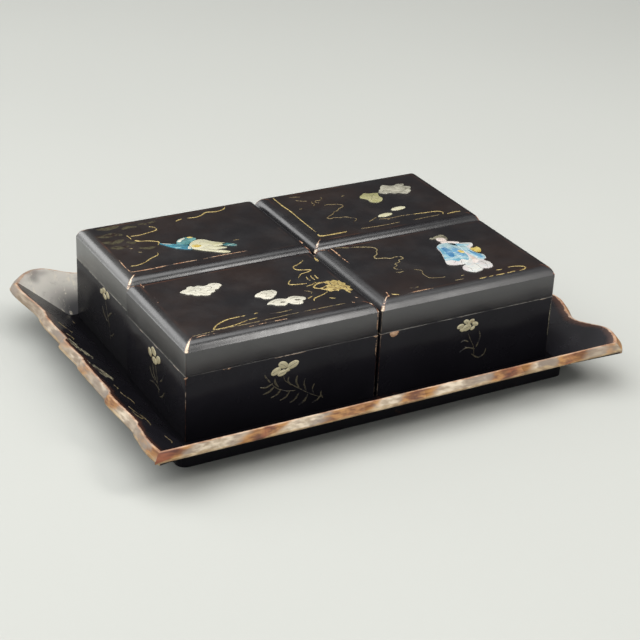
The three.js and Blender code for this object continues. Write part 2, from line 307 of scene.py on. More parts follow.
# From the very edge inwards: (distance along the face, set back), as shares of the ease.
EASED_EDGE = ((0, 1), (0.3, 0.3), (1, 0))
BOX_NAMES = ("front_left", "front_right", "back_left", "back_right")


def link_piece(name, mesh, *materials):
    for material in materials:
        mesh.materials.append(material)
    made = bpy.data.objects.new(name, mesh)
    bpy.context.collection.objects.link(made)
    return made


def loft(rings):
    """Points and faces of a closed solid through rings that all have the same number of points."""
    count = len(rings[0])
    points = [tuple(point) for ring in rings for point in ring]
    faces = [list(range(count))[::-1]]
    for row in range(len(rings) - 1):
        start = row * count
        for i in range(count):
            following = (i + 1) % count
            faces.append((start + i, start + following, start + count + following, start + count + i))
    faces.append([(len(rings) - 1) * count + i for i in range(count)])
    return points, faces


def mesh_of(name, solids, smooth_angle=35.0):
    """One mesh from several closed solids, faces outwards and smooth but for the sharp edges."""
    points, faces = [], []
    for solid_points, solid_faces in solids:
        start = len(points)
        points += solid_points
        faces += [[start + i for i in face] for face in solid_faces]
    mesh = bpy.data.meshes.new(name)
    mesh.from_pydata(points, [], faces)
    tidy = bmesh.new()
    tidy.from_mesh(mesh)
    bmesh.ops.recalc_face_normals(tidy, faces=tidy.faces)
    tidy.to_mesh(mesh)
    tidy.free()
    mesh.shade_smooth()
    mesh.set_sharp_from_angle(angle=math.radians(smooth_angle))
    return mesh


def mitred_board(name, length, thickness, levels):
    """A board with half-rounded corners and mitred ends. levels are (height, set back of the face)."""
    reach = length / 2 - CORNER_RADIUS
    angles = [math.radians(45 * i / CORNER_STEPS) for i in range(CORNER_STEPS + 1)]
    rings = []
    for height, set_back in levels:
        arc = []
        for angle in angles:
            along = length / 2 - CORNER_RADIUS * (1 - math.sin(angle)) - set_back
            arc.append((along, CORNER_RADIUS * (1 - math.cos(angle)) + set_back))
        ring = [(length / 2 - thickness, thickness), (thickness - length / 2, thickness)]
        ring += [(-along, back) for along, back in reversed(arc)]
        ring += [(reach * (2 * i / ALONG_STEPS - 1), set_back) for i in range(1, ALONG_STEPS)]
        rings.append([Vector((x, y, height)) for x, y in ring + arc])
    return mesh_of(name, [loft(rings)])


def side_places(name):
    """Where the four boards of a box stand: side, length of the board, and turn about the box."""
    centre, half_length, half_depth = box_sizes(name)
    middle = Vector((centre.x, centre.y, 0))
    return (
        ("front", 2 * half_length, middle + Vector((0, -half_depth, 0)), 0),
        ("right", 2 * half_depth, middle + Vector((half_length, 0, 0)), 90),
        ("back", 2 * half_length, middle + Vector((0, half_depth, 0)), 180),
        ("left", 2 * half_depth, middle + Vector((-half_length, 0, 0)), 270),
    )


def set_boards(name, part, body, material, ease_low, ease_high):
    """Makes the four boards of one box part, each in place of its solid."""
    for side, length, place, angle in side_places(name):
        node = f"{name}_{part}_{side}"
        low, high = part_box(node)
        thickness = high.y - low.y if side in ("front", "back") else high.x - low.x
        levels = [(low.z + ease_low * rise, ease_low * back) for rise, back in EASED_EDGE]
        if ease_high:
            levels += [(high.z - ease_high * rise, ease_high * back) for rise, back in EASED_EDGE[::-1]]
        else:
            levels.append((high.z, 0))
        mesh = mitred_board(node + "_board", length, thickness, levels)
        mesh.transform(Matrix.Translation(place) @ Matrix.Rotation(math.radians(angle), 4, "Z"))
        board = link_piece(node + "_board", mesh, material)
        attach(board, body)
        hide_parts(node)


joint_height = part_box("front_left_box_wall_front")[1].z
for box_name in BOX_NAMES:
    wall_painted_sheen = WALL_PAINTED_SHEEN_SHARE * LEFT_PAINTED_SHEEN[box_name]
    finish = box_lacquer(box_name, "_box_lacquer", WALL_GLOSS, WALL_DEPTH, joint_height, wall_painted_sheen)
    set_boards(box_name, "box_wall", box_name + "_box", finish, JOINT_EASE, JOINT_EASE)
    for part in ("_box_floor", "_box_lip"):
        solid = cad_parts[box_name + part]
        solid.data.materials.clear()
        solid.data.materials.append(finish)


# The lids. Four mitred rails carry a board whose edges roll over in a wide quarter round. The top is
# a browner lacquer, and the mitre ridges of the round have chipped to the cream ground at the corners.
ROUND_WIDTH = 6.0 * MM
# From the flat of the top outwards: (set in from the outer face, drop below the top).
ROUND_PROFILE = (
    (6.0, 0.0), (5.3, 0.03), (4.6, 0.14), (4.0, 0.31), (3.45, 0.54), (2.95, 0.82), (2.5, 1.14), (2.1, 1.51),
    (1.74, 1.93), (1.42, 2.38), (1.13, 2.86), (0.87, 3.36), (0.63, 3.88), (0.41, 4.39), (0.2, 4.84),
)
# Roughness of the rolled edge of each lid, and of the flat, which hands have rubbed duller.
LID_GLOSS = {"front_left": 0.25, "front_right": 0.38, "back_left": 0.25, "back_right": 0.25}
FLAT_GLOSS = 0.34
LACQUER_BROWN = (0.0190, 0.0105, 0.0090)
WORN_CREAM = (0.74, 0.62, 0.46)
LID_DEPTH = 1.76
LID_WAVES = 0.0008
RAIL_GLOSS = 0.34
RAIL_DEPTH = 1.92
CRUMB_GRAIN = 1100.0
RIDGE_WEAR = 0.8 * MM
TIP_WEAR = 1.9 * MM
CHIP_REACH = 11.0 * MM
FLAT_RADIUS = 3.0 * MM


def lid_lacquer(name):
    centre, half_length, half_depth = box_sizes(name)
    material, tree, shader, place = new_material(name + "_lid_lacquer")
    fleck = lacquer_finish(tree, shader, place, LID_GLOSS[name], LID_DEPTH, LID_WAVES)
    offset = add_node(tree, "VectorMath", {0: place, 1: centre}, operation="SUBTRACT").outputs[0]
    parts = add_node(tree, "SeparateXYZ", {0: offset}).outputs
    to_end = minus(tree, half_length, maths(tree, "ABSOLUTE", parts["X"]))
    to_front = minus(tree, half_depth, maths(tree, "ABSOLUTE", parts["Y"]))
    to_ridge = maths(tree, "ABSOLUTE", minus(tree, to_end, to_front))
    from_corner = maths(tree, "MAXIMUM", to_end, to_front)
    to_edge = maths(tree, "MINIMUM", to_end, to_front)
    on_flat = fade(tree, to_edge, 0.7 * ROUND_WIDTH, 1.1 * ROUND_WIDTH)
    rough = shader.inputs["Roughness"].links[0].from_socket
    duller = times(tree, on_flat, FLAT_GLOSS - LID_GLOSS[name])
    tree.links.new(plus(tree, rough, duller), shader.inputs["Roughness"])
    to_break = maths(tree, "ABSOLUTE", minus(tree, to_edge, ROUND_WIDTH + EDGE_WEAR))
    near_corner = fade(tree, from_corner, CHIP_REACH, 0.3 * CHIP_REACH)
    patch = grain(tree, place, 31.0, 3.0)
    reach = scaled(tree, fade(tree, from_corner, ROUND_WIDTH, 0.0), TIP_WEAR, RIDGE_WEAR)
    near_front = scaled(tree, fade(tree, parts["Y"], 0.01, -0.01), 0.6, 0.4)
    near_left = scaled(tree, fade(tree, parts["X"], 0.01, -0.01), 0.6, 0.4)
    ridge = times(tree, fade(tree, maths(tree, "DIVIDE", to_ridge, reach), 1.0, 0.0), near_corner)
    ridge = times(tree, ridge, times(tree, near_front, near_left))
    fine = grain(tree, place, CRUMB_GRAIN, 3.0)
    crumb = plus(tree, times(tree, fleck, 0.55), times(tree, fine, 0.45))
    chipped = times(tree, ridge, scaled(tree, minus(tree, crumb, 0.5), 15.0, 1.5))
    line = times(tree, fade(tree, to_break, 1.3 * EDGE_WEAR, 0.0), fade(tree, patch, 0.48, 0.66))
    line = times(tree, times(tree, line, times(tree, fleck, 1.6)), near_left)
    cloud = grain(tree, place, 17.0, 4.0, 0.6)
    flat_black = [0.8 * c for c in LACQUER_BLACK]
    flat_brown = [0.85 * c for c in LACQUER_BROWN]
    tint = mixed(tree, fade(tree, cloud, 0.35, 0.7), flat_black, flat_brown)
    tint = mixed(tree, fade(tree, to_edge, ROUND_WIDTH, 0.6 * ROUND_WIDTH), tint, LACQUER_BLACK)
    # Painted sheen: grey on the rolled left edge of the lid, for the light it reflects.
    on_left = fade(tree, parts["X"], 1.3 * ROUND_WIDTH - half_length, 0.2 * ROUND_WIDTH - half_length)
    tint = mixed(tree, times(tree, on_left, 0.7 * LEFT_PAINTED_SHEEN[name]), tint, PAINTED_SHEEN_GREY)
    brown = mixed(tree, maths(tree, "MINIMUM", line, 1.0), tint, WORN_BROWN)
    brown = mixed(tree, fade(tree, chipped, 0.20, 0.50), brown, [2.2 * c for c in WORN_BROWN])
    cream = mixed(tree, fade(tree, chipped, 0.60, 1.15), brown, WORN_CREAM)
    tree.links.new(cream, shader.inputs["Base Color"])
    return material


def rounded_ring(half_length, half_depth, radius, height):
    ring = []
    for x_side, y_side, start in ((1, 1, 0), (-1, 1, 90), (-1, -1, 180), (1, -1, 270)):
        for i in range(CORNER_STEPS + 1):
            angle = math.radians(start + 90 * i / CORNER_STEPS)
            x = x_side * (half_length - radius) + radius * math.cos(angle)
            y = y_side * (half_depth - radius) + radius * math.sin(angle)
            ring.append(Vector((x, y, height)))
    return ring


def make_lid_top(name, material):
    node = name + "_lid_top"
    low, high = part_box(node)
    centre, half_length, half_depth = box_sizes(name)
    rings = [rounded_ring(half_length, half_depth, CORNER_RADIUS, low.z)]
    for inset, drop in reversed(ROUND_PROFILE):
        radius = CORNER_RADIUS + (FLAT_RADIUS - CORNER_RADIUS) * inset * MM / ROUND_WIDTH
        back, height = inset * MM, high.z - drop * MM
        rings.append(rounded_ring(half_length - back, half_depth - back, radius, height))
    mesh = mesh_of(node + "_board", [loft(rings)], 40.0)
    mesh.transform(Matrix.Translation((centre.x, centre.y, 0)))
    board = link_piece(node + "_board", mesh, material)
    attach(board, name + "_lid")
    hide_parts(node)


for box_name in BOX_NAMES:
    make_lid_top(box_name, lid_lacquer(box_name))
    painted_sheen = LEFT_PAINTED_SHEEN[box_name]
    finish = box_lacquer(box_name, "_rail_lacquer", RAIL_GLOSS, RAIL_DEPTH, joint_height, painted_sheen)
    set_boards(box_name, "lid_rail", box_name + "_lid", finish, JOINT_EASE, 0)


# The tray. A flat floor on a low plinth, and four canted boards mitred at the corners. Their upper
# edges are cut in lobes and scallops by hand, and worn from black through brown to a pale ground.
CANT = math.radians(34)
SIDE_THICKNESS = 6.5
FLOOR_THICKNESS = 5.0
CORNER_SLANT = 32.7
CREASED_RISE = 16.0
EDGE_EASE = 1.1
EASE_STEPS = 4
RIM_STEP = 2.0
TIP_TRIM = 2.2
TIP_REACH = 7.0
SPOT_SLANT = 1.1
HAND_WOBBLE = 0.3
RIM_GLOSS = 0.22
RIM_DEPTH = 1.42
TRAY_GLOSS = 0.30
WORN_ROUGHNESS = 0.55
# Colours of the rubbed edge, each from the dark to the light of its streaks.
GROUND_TONES = ((0.24, 0.180, 0.130), (0.40, 0.325, 0.245))
GREY_GROUND = (0.23, 0.185, 0.15)
CREAM_TONES = ((0.33, 0.25, 0.17), (0.62, 0.53, 0.41))
BROWN_TONES = ((0.14, 0.050, 0.017), (0.40, 0.200, 0.064))
RUST_TONES = ((0.075, 0.018, 0.008), (0.21, 0.060, 0.022))
COPPER_TONES = ((0.36, 0.16, 0.085), (0.66, 0.47, 0.34))
GOLD_TONES = ((0.30, 0.19, 0.085), (0.50, 0.36, 0.19))
# A pale bloom on the inside of the back side: partly dust, partly a painted sheen of the light on that face.
DUST_AND_SHEEN = (0.53, 0.50, 0.45)
SCUFFED = (0.58, 0.53, 0.42)
# Each rim as (distance from the middle, width up the slant), seen from outside, left to right.
FRONT_RIM = (
    (-144, 37), (-110, 29.5), (-96, 32.5), (-83, 31.4), (-78, 34.2), (-27, 31.2), (-22, 33.2),
    (14, 31.2), (19, 33.4), (84, 31.2), (90, 34.2), (115, 29.5), (144, 36.5),
)
RIGHT_RIM = (
    (-105, 36.3), (-75, 28.7), (-52, 34.5), (-16, 31), (-11, 33.4), (26, 30.8), (31, 33), (72, 28.5),
    (103, 36.5),
)
BACK_RIM = (
    (-144, 37), (-110, 30), (-98, 33.5), (-60, 31.2), (-55, 33.6), (-5, 31.2), (0, 33.4), (52, 31),
    (57, 33.4), (112, 30.5), (143, 39),
)
LEFT_RIM = (
    (-104, 35.5), (-74, 28), (-60, 31), (-33, 29), (-26, 33.2), (-3, 30.2), (3, 32), (41, 30.4),
    (49, 33.4), (81, 29.4), (88, 32), (104, 34.2),
)
# Where the edge is rubbed to brown wood and where it is palest: (distance from the middle, reach, share).
FRONT_BROWN = (
    (-152, 13, 1.2), (-88, 12, 1.0), (-31, 20, 0.85), (11, 12, 0.95), (79, 16, 1.0), (124, 10, 0.95),
    (152, 8, 0.45),
)
# The narrow pale spots at the creases, at -76 and 91, are partly white chips and partly a painted highlight
# where the step of the crease catches the light.
FRONT_PALE = (
    (-121, 15, 0.8), (-76, 4, 1.0), (-63, 11, 0.7), (-9, 9, 0.9), (34, 10, 1.0), (52, 9, 0.4), (91, 4, 1.0),
)
RIGHT_BROWN = ((-112, 8, 0.6), (-59, 12, 0.9), (-20, 10, 0.5), (20, 9, 0.6), (110, 8, 0.5))
RIGHT_PALE = ((-88, 12, 0.4), (5, 9, 0.5), (50, 12, 0.4))
BACK_BROWN = ((-150, 8, 0.6), (-68, 12, 0.6), (-10, 10, 0.5), (46, 10, 0.6), (150, 9, 0.4))
BACK_PALE = ((-90, 12, 0.4), (12, 10, 0.5), (75, 12, 0.4))
LEFT_BROWN = (
    (-116, 7, 0.6), (-58, 7, 0.45), (-35, 6, 0.45), (-20, 7, 0.45), (13, 9, 0.5), (56, 9, 0.8),
    (100, 12, 0.45), (117, 5, 0.9),
)
LEFT_PALE = ((-90, 12, 0.4), (-46, 5, 0.5), (-5, 6, 0.6), (35, 9, 0.5), (72, 8, 0.7))


def rim_slant(at, turns):
    """Width of a tray side up its slant. Ears swell out of the corners, short rises start in a crease."""
    last = len(turns) - 2
    i = next((i for i in range(last + 1) if at <= turns[i + 1][0]), last)
    (from_at, from_slant), (to_at, to_slant) = turns[i], turns[i + 1]
    share = (at - from_at) / (to_at - from_at)
    if i == 0 or (to_slant > from_slant and to_at - from_at < CREASED_RISE):
        eased = math.sin(share * math.pi / 2)
    elif i == last:
        eased = 1 - math.cos(share * math.pi / 2)
    else:
        eased = (1 - math.cos(share * math.pi)) / 2
    return from_slant + (to_slant - from_slant) * eased


def side_section(slant):
    """Points of a side's section: outward, height, distance below the rim, and share of the thickness."""
    def at(along, through):
        outward = along * math.cos(CANT) + through * math.sin(CANT)
        return (outward, along * math.sin(CANT) - through * math.cos(CANT), slant - along, through)

    points = [(0, 0, slant, 0)]
    points += [at(slant * share, 0) for share in (0.3, 0.6, 0.85)]
    for i in range(EASE_STEPS + 1):
        angle = math.radians(90 * i / EASE_STEPS)
        points.append(at(slant - EDGE_EASE * (1 - math.sin(angle)), EDGE_EASE * (1 - math.cos(angle))))
    for i in range(EASE_STEPS + 1):
        angle = math.radians(90 * i / EASE_STEPS)
        through = SIDE_THICKNESS - EDGE_EASE * (1 - math.sin(angle))
        points.append(at(slant - EDGE_EASE * (1 - math.cos(angle)), through))
    under = (SIDE_THICKNESS * math.cos(CANT) - FLOOR_THICKNESS) / math.sin(CANT)
    points += [at(slant * share, SIDE_THICKNESS) for share in (0.75, 0.4)]
    points.append(at(under, SIDE_THICKNESS))
    points.append((0, -FLOOR_THICKNESS, slant, SIDE_THICKNESS))
    return points


def worn_share(at, spots):
    """0 to 1: the strongest of a rim's worn spots at one distance from the middle."""
    return max(share * math.exp(-((at - middle) / reach) ** 2) for middle, reach, share in spots)


def make_tray_side(side, floor_run, rim, brown_spots, pale_spots, place, angle, material):
    corner = side_section(CORNER_SLANT)
    reach = [floor_run / 2 + outward for outward, *_ in corner]
    half_run = max(reach)
    turns = ((-half_run, CORNER_SLANT), *rim, (half_run, CORNER_SLANT))
    steps = int(2 * half_run / RIM_STEP)
    stations = {round(half_run * (2 * i / steps - 1), 3) for i in range(steps + 1)}
    stations |= {float(at) + shift for at, _ in rim for shift in (-0.5, 0.0, 0.5)}
    stations |= {end * (half_run - back) for end in (-1, 1) for back in (1.0, 3.0, 5.0)}
    rings = []
    marks = {label: [] for label in ("run", "drop", "depth", "brown", "pale")}
    for station in sorted(stations):
        share = station / half_run
        hand = noise.noise(Vector((station * 0.09, place.x * 40, place.y * 40))) * (1 - abs(share) ** 8)
        tip = max(0.0, 1 - (half_run - abs(station)) / TIP_REACH)
        slant = rim_slant(station, turns) + HAND_WOBBLE * hand - TIP_TRIM * tip ** 2
        ring = []
        for (outward, height, drop, through), edge in zip(side_section(slant), reach):
            ring.append(Vector((share * edge, -outward, height)) * MM)
            slanted = station + SPOT_SLANT * through
            worn = worn_share(slanted, brown_spots), worn_share(slanted, pale_spots)
            for label, value in zip(marks, (station, drop, through / SIDE_THICKNESS, *worn)):
                marks[label].append(value)
        rings.append(ring)
    name = f"tray_side_{side}"
    mesh = mesh_of(name + "_board", [loft(rings)], 50.0)
    for label, values in marks.items():
        layer = mesh.attributes.new(label, "FLOAT", "POINT")
        layer.data.foreach_set("value", values)
    mesh.transform(Matrix.Translation(place) @ Matrix.Rotation(math.radians(angle), 4, "Z"))
    board = link_piece(name + "_board", mesh, material)
    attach(board, "tray")
    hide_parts(name)


def worn_rim(name, dust):
    """Black inside and below. The edge is worn to a pale ground, with brown wood in places."""
    material, tree, shader, place = new_material(name)
    fleck = lacquer_finish(tree, shader, place, RIM_GLOSS + 0.2 * dust, RIM_DEPTH)

    def mark(label):
        return add_node(tree, "Attribute", {}, attribute_name=label).outputs["Fac"]

    def along_edge(run_place):
        return add_node(tree, "CombineXYZ", {"X": run_place, "Y": across, "Z": which}).outputs[0]

    def streaked(tones, start=0.3, end=0.7):
        return mixed(tree, fade(tree, streak, start, end), *tones)

    run, drop, depth, brown_here, pale_here = (mark(n) for n in ("run", "drop", "depth", "brown", "pale"))
    patch = grain(tree, place, 48.0, 2.0, 0.5)
    sides = add_node(tree, "SeparateXYZ", {0: place}).outputs
    which = times(tree, plus(tree, sides["X"], sides["Y"]), 0.3)
    across = times(tree, depth, SIDE_THICKNESS * MM)
    blotch_run = plus(tree, times(tree, run, MM), times(tree, across, 1.5))
    blotch = grain(tree, along_edge(blotch_run), 52.0, 2.0, 0.45)
    streak = grain(tree, along_edge(times(tree, run, 0.14 * MM)), 520.0, 2.5, 0.45)
    loose = minus(tree, blotch, 0.5)
    stray = times(tree, minus(tree, streak, 0.5), 0.5)
    ground = mixed(tree, fade(tree, patch, 0.34, 0.62), GREY_GROUND, streaked(GROUND_TONES))
    brown = mixed(
        tree, fade(tree, brown_here, 0.75, 1.02), streaked(BROWN_TONES), streaked(RUST_TONES, 0.35, 0.7)
    )
    paleness = plus(tree, plus(tree, pale_here, times(tree, loose, 0.8)), stray)
    brownness = plus(tree, plus(tree, brown_here, times(tree, loose, -0.8)), stray)
    band = mixed(tree, fade(tree, paleness, 0.24, 0.70), ground, streaked(CREAM_TONES))
    band = mixed(tree, fade(tree, brownness, 0.22, 0.64), band, brown)
    inner_line = times(tree, fade(tree, depth, 0.16, 0.05), fade(tree, patch, 0.25, 0.50))
    outer_line = fade(tree, plus(tree, depth, times(tree, loose, 0.9)), 0.74, 0.90)
    band = mixed(tree, times(tree, inner_line, 0.65), band, streaked(COPPER_TONES))
    band = mixed(tree, times(tree, outer_line, 0.6), band, streaked(GOLD_TONES, 0.35, 0.65))
    ragged = plus(tree, drop, times(tree, minus(tree, fleck, 0.5), 2.4))
    on_edge = fade(tree, ragged, 1.5, 1.0)
    rough = shader.inputs["Roughness"].links[0].from_socket
    rough = maths(tree, "MAXIMUM", rough, times(tree, on_edge, WORN_ROUGHNESS))
    tree.links.new(rough, shader.inputs["Roughness"])
    browned = fade(tree, plus(tree, ragged, times(tree, loose, 8.0)), 6.0, 1.0)
    inside = mixed(tree, fade(tree, patch, 0.3, 0.8), LACQUER_BLACK, [1.5 * c for c in LACQUER_BLACK])
    inside = mixed(tree, times(tree, browned, 0.5), inside, WORN_BROWN)
    # On the back side: a pale bloom, partly dust and partly painted sheen of the light on that face. It is
    # strongest near the rim and fades out lower down the slant, with scuffs laid over it.
    if dust:
        streaks = add_node(tree, "Mapping", {"Vector": place, "Scale": (1.0, 0.25, 0.25)})
        scratch = grain(tree, streaks.outputs["Vector"], 240.0, 4.0, 0.65)
        mottle = grain(tree, place, 130.0, 5.0, 0.7)
        dust_and_sheen = times(tree, fade(tree, drop, 33.0, 10.0), fade(tree, patch, 0.10, 0.50))
        dust_and_sheen = times(tree, dust_and_sheen, fade(tree, mottle, 0.0, 0.50))
        inside = mixed(tree, times(tree, dust_and_sheen, dust), inside, DUST_AND_SHEEN)
        scuffs = times(tree, fade(tree, scratch, 0.56, 0.66), fade(tree, mottle, 0.42, 0.58))
        inside = mixed(tree, times(tree, scuffs, 0.85), inside, SCUFFED)
    tree.links.new(mixed(tree, on_edge, inside, band), shader.inputs["Base Color"])
    return material


tray_low, tray_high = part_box("tray_floor")
tray_length = (tray_high.x - tray_low.x) / MM
tray_depth = (tray_high.y - tray_low.y) / MM
rim_finish = worn_rim("worn_rim", 0.0)
dusty_sheen_rim = worn_rim("dusty_sheen_rim", 0.85)
for side, run, rim, brown_spots, pale_spots, x, y, angle, finish in (
    ("front", tray_length, FRONT_RIM, FRONT_BROWN, FRONT_PALE, 0, tray_low.y, 0, rim_finish),
    ("right", tray_depth, RIGHT_RIM, RIGHT_BROWN, RIGHT_PALE, tray_high.x, 0, 90, rim_finish),
    ("back", tray_length, BACK_RIM, BACK_BROWN, BACK_PALE, 0, tray_high.y, 180, dusty_sheen_rim),
    ("left", tray_depth, LEFT_RIM, LEFT_BROWN, LEFT_PALE, tray_low.x, 0, 270, rim_finish),
):
    make_tray_side(side, run, rim, brown_spots, pale_spots, Vector((x, y, tray_high.z)), angle, finish)


def plain_lacquer(name, depth, share):
    """Lacquer of the tray's floor or plinth. share scales how light the black is."""
    material, tree, shader, place = new_material(name)
    fleck = lacquer_finish(tree, shader, place, TRAY_GLOSS, depth)
    patch = grain(tree, place, 40.0, 4.0)
    worn = times(tree, fade(tree, patch, 0.6, 0.85), fade(tree, fleck, 0.5, 0.75))
    colour = mixed(tree, worn, [share * c for c in LACQUER_BLACK], WORN_BROWN)
    tree.links.new(colour, shader.inputs["Base Color"])
    return material


floor_lacquer = plain_lacquer("floor_lacquer", 1.1, 0.4)
plinth_lacquer = plain_lacquer("plinth_lacquer", 1.2, 1.2)
for node in ("tray_floor", "plinth_front", "plinth_right", "plinth_back", "plinth_left"):
    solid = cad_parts[node]
    solid.data.materials.clear()
    solid.data.materials.append(floor_lacquer if node == "tray_floor" else plinth_lacquer)


# The ornament. Shell is let on to the lacquer as thin pieces with an eased edge, gold is laid on in
# raised brush strokes that have worn through in places. Each surface maps millimetres to the room.
SHELL_HEIGHT = 0.45
SHELL_EASE = 0.22
GOLD_HEIGHT = 0.16
FILM_HEIGHT = 0.05
SHELL_GLOSS = 0.26
SHELL_IOR = 1.55
CLEAR_COAT = 0.25
COAT_GLOSS = 0.12
GOLD_GLOSS = 0.38
# From the edge of a swelling piece to its middle: (share of the outline, share of the swell).
DOME_RINGS = ((0.72, 0.55), (0.4, 0.9), (0.12, 1.0))
# Across a brush stroke: (share of half its width, share of its height).
STROKE_SECTION = ((-1, 0.15), (-0.6, 0.8), (0, 1), (0.6, 0.8), (1, 0.15))
STROKE_END = 0.35
SINK = 0.04
CURVE_STEPS = 5


def surface(origin, along, up, outward):
    return Vector(origin) * MM, Vector(along), Vector(up), Vector(outward)


def on(plane, along, up, outward):
    origin, along_axis, up_axis, out_axis = plane
    return origin + (along_axis * along + up_axis * up + out_axis * outward) * MM


def smooth(points, closed):
    """Points along a soft curve that runs through the given ones."""
    count = len(points)
    curve = []
    for i in range(count if closed else count - 1):
        if closed:
            near = [points[(i + k) % count] for k in (-1, 0, 1, 2)]
        else:
            near = [points[min(max(i + k, 0), count - 1)] for k in (-1, 0, 1, 2)]
        for step in range(CURVE_STEPS):
            t = step / CURVE_STEPS
            curve.append(tuple(
                0.5 * (2 * b + (c - a) * t + (2 * a - 5 * b + 4 * c - d) * t * t
                       + (3 * b - a - 3 * c + d) * t ** 3)
                for a, b, c, d in zip(*near)
            ))
    if not closed:
        curve.append(tuple(points[-1]))
    return curve


def plaque(plane, outline, height=SHELL_HEIGHT, dome=0.0, base=0.0):
    """A thin solid with a soft outline and an eased upper edge. A dome also swells in the middle."""
    edge = smooth(outline, True)
    turn = sum(x0 * y1 - x1 * y0 for (x0, y0), (x1, y1) in zip(edge, edge[1:] + edge[:1]))
    if turn < 0:
        edge.reverse()
    count = len(edge)
    middle_x = sum(x for x, _ in edge) / count
    middle_y = sum(y for _, y in edge) / count
    rings = []
    top = base + height
    ease = min(SHELL_EASE, 0.6 * height)
    levels = ((0, base - SINK), (0, top - ease), (0.3 * ease, top - 0.3 * ease), (ease, top))
    for inset, level in levels:
        ring = []
        for i, (x, y) in enumerate(edge):
            dx = edge[(i + 1) % count][0] - edge[i - 1][0]
            dy = edge[(i + 1) % count][1] - edge[i - 1][1]
            size = math.hypot(dx, dy) or 1.0
            ring.append(on(plane, x - dy / size * inset, y + dx / size * inset, level))
        rings.append(ring)
    if dome:
        for share, rise in DOME_RINGS:
            ring = []
            for x, y in edge:
                inner_x, inner_y = middle_x + (x - middle_x) * share, middle_y + (y - middle_y) * share
                ring.append(on(plane, inner_x, inner_y, top + dome * rise))
            rings.append(ring)
    return loft(rings)


def oval(x, y, half_length, half_width, turn=0.0, count=10):
    cos_turn, sin_turn = math.cos(math.radians(turn)), math.sin(math.radians(turn))
    points = []
    for i in range(count):
        angle = 2 * math.pi * i / count
        along, across = half_length * math.cos(angle), half_width * math.sin(angle)
        points.append((x + along * cos_turn - across * sin_turn, y + along * sin_turn + across * cos_turn))
    return points


def stroke(plane, width, *points, height=GOLD_HEIGHT, base=0.0):
    """A raised brush stroke: thin at both ends, and of an uneven width between."""
    path = smooth(points, False)
    profile = [(-1, -SINK), *((across, share * height) for across, share in STROKE_SECTION), (1, -SINK)]
    rings = []
    for i, (x, y) in enumerate(path):
        before = path[max(i - 1, 0)]
        after = path[min(i + 1, len(path) - 1)]
        dx, dy = after[0] - before[0], after[1] - before[1]
        size = math.hypot(dx, dy) or 1.0
        share = i / (len(path) - 1)
        taper = STROKE_END + (1 - STROKE_END) * math.sin(math.pi * share) ** 0.6
        hand = 1 + 0.5 * noise.noise(Vector((x * 0.35, y * 0.35, width)))
        half = width / 2 * taper * hand
        side_x, side_y = -dy / size * half, dx / size * half
        rings.append([on(plane, x + side_x * out, y + side_y * out, base + level) for out, level in profile])
    return loft(rings)


def ornament(name, groups, body, slot, *nodes):
    """One piece of ornament from groups of (material, solids), and the inlay it stands in for."""
    solids = [solid for _, part in groups for solid in part]
    made = link_piece(name, mesh_of(name, solids, 50.0), *[material for material, _ in groups])
    numbers = []
    for number, (_, part) in enumerate(groups):
        numbers += [number] * sum(len(faces) for _, faces in part)
    made.data.polygons.foreach_set("material_index", numbers)
    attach(made, body)
    if nodes:
        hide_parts(*nodes)


def shell(name, first, second, third, scale=95.0):
    """Mother of pearl: two tones in cloudy bands, a third in fine streaks, under a clear gloss."""
    material, tree, shader, place = new_material(name)
    cloud = grain(tree, place, scale, 3.0, 0.55)
    streak = add_node(tree, "Mapping", {"Vector": place, "Rotation": (0, 0, 0.5), "Scale": (1.0, 5.0, 1.0)})
    fine = grain(tree, streak.outputs["Vector"], 170.0, 3.0)
    colour = mixed(tree, fade(tree, cloud, 0.38, 0.62), first, second)
    colour = mixed(tree, fade(tree, fine, 0.54, 0.70), colour, third)
    tree.links.new(colour, shader.inputs["Base Color"])
    shader.inputs["Roughness"].default_value = SHELL_GLOSS
    shader.inputs["IOR"].default_value = SHELL_IOR
    shader.inputs["Coat Weight"].default_value = CLEAR_COAT
    shader.inputs["Coat Roughness"].default_value = COAT_GLOSS
    roughen(tree, shader, cloud, 0.15, 0.0006)
    return material


def gold_paint(name, bright, dull, ground, worn_from, metal):
    """Gold over dark lacquer: bright and dull in a fine mottle, and worn through to the ground in patches."""
    material, tree, shader, place = new_material(name)
    patch = grain(tree, place, 130.0, 3.0, 0.6)
    fine = grain(tree, place, 700.0, 3.0, 0.6)
    colour = mixed(tree, fade(tree, fine, 0.35, 0.62), dull, bright)
    shown = plus(tree, patch, times(tree, minus(tree, fine, 0.5), 0.5))
    kept = fade(tree, shown, worn_from, worn_from + 0.10)
    tree.links.new(mixed(tree, kept, ground, colour), shader.inputs["Base Color"])
    tree.links.new(times(tree, kept, metal), shader.inputs["Metallic"])
    shader.inputs["Roughness"].default_value = GOLD_GLOSS
    roughen(tree, shader, fine, 0.2, 0.0003)
    return material


# Front left lid: three clouds of white shell with a mist line before them, and on the right a pine by
# rocks in gold. The clouds are cut from shell, let on and engraved. The gold is brushed on.
lid_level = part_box("front_left_lid_top")[1].z / MM
LID_PLANE = surface((0, 0, lid_level), (1, 0, 0), (0, 1, 0), (0, 0, 1))
LID_BRUSH = 0.6
PINE_HEIGHT = 0.14
PINE_LINE_HEIGHT = 0.04
CUT_WIDTH = 0.30
INK_COLOUR = (0.075, 0.065, 0.05)
INK_GLOSS = 0.4
pearl_white = shell("pearl_white", (0.66, 0.63, 0.53), (0.56, 0.54, 0.45), (0.74, 0.72, 0.64))
gold = gold_paint("gold_paint", (0.62, 0.49, 0.20), (0.32, 0.22, 0.08), LACQUER_BROWN, 0.27, 0.3)
faint_gold = gold_paint("faint_gold", (0.27, 0.21, 0.10), (0.13, 0.09, 0.045), LACQUER_BROWN, 0.36, 0.3)
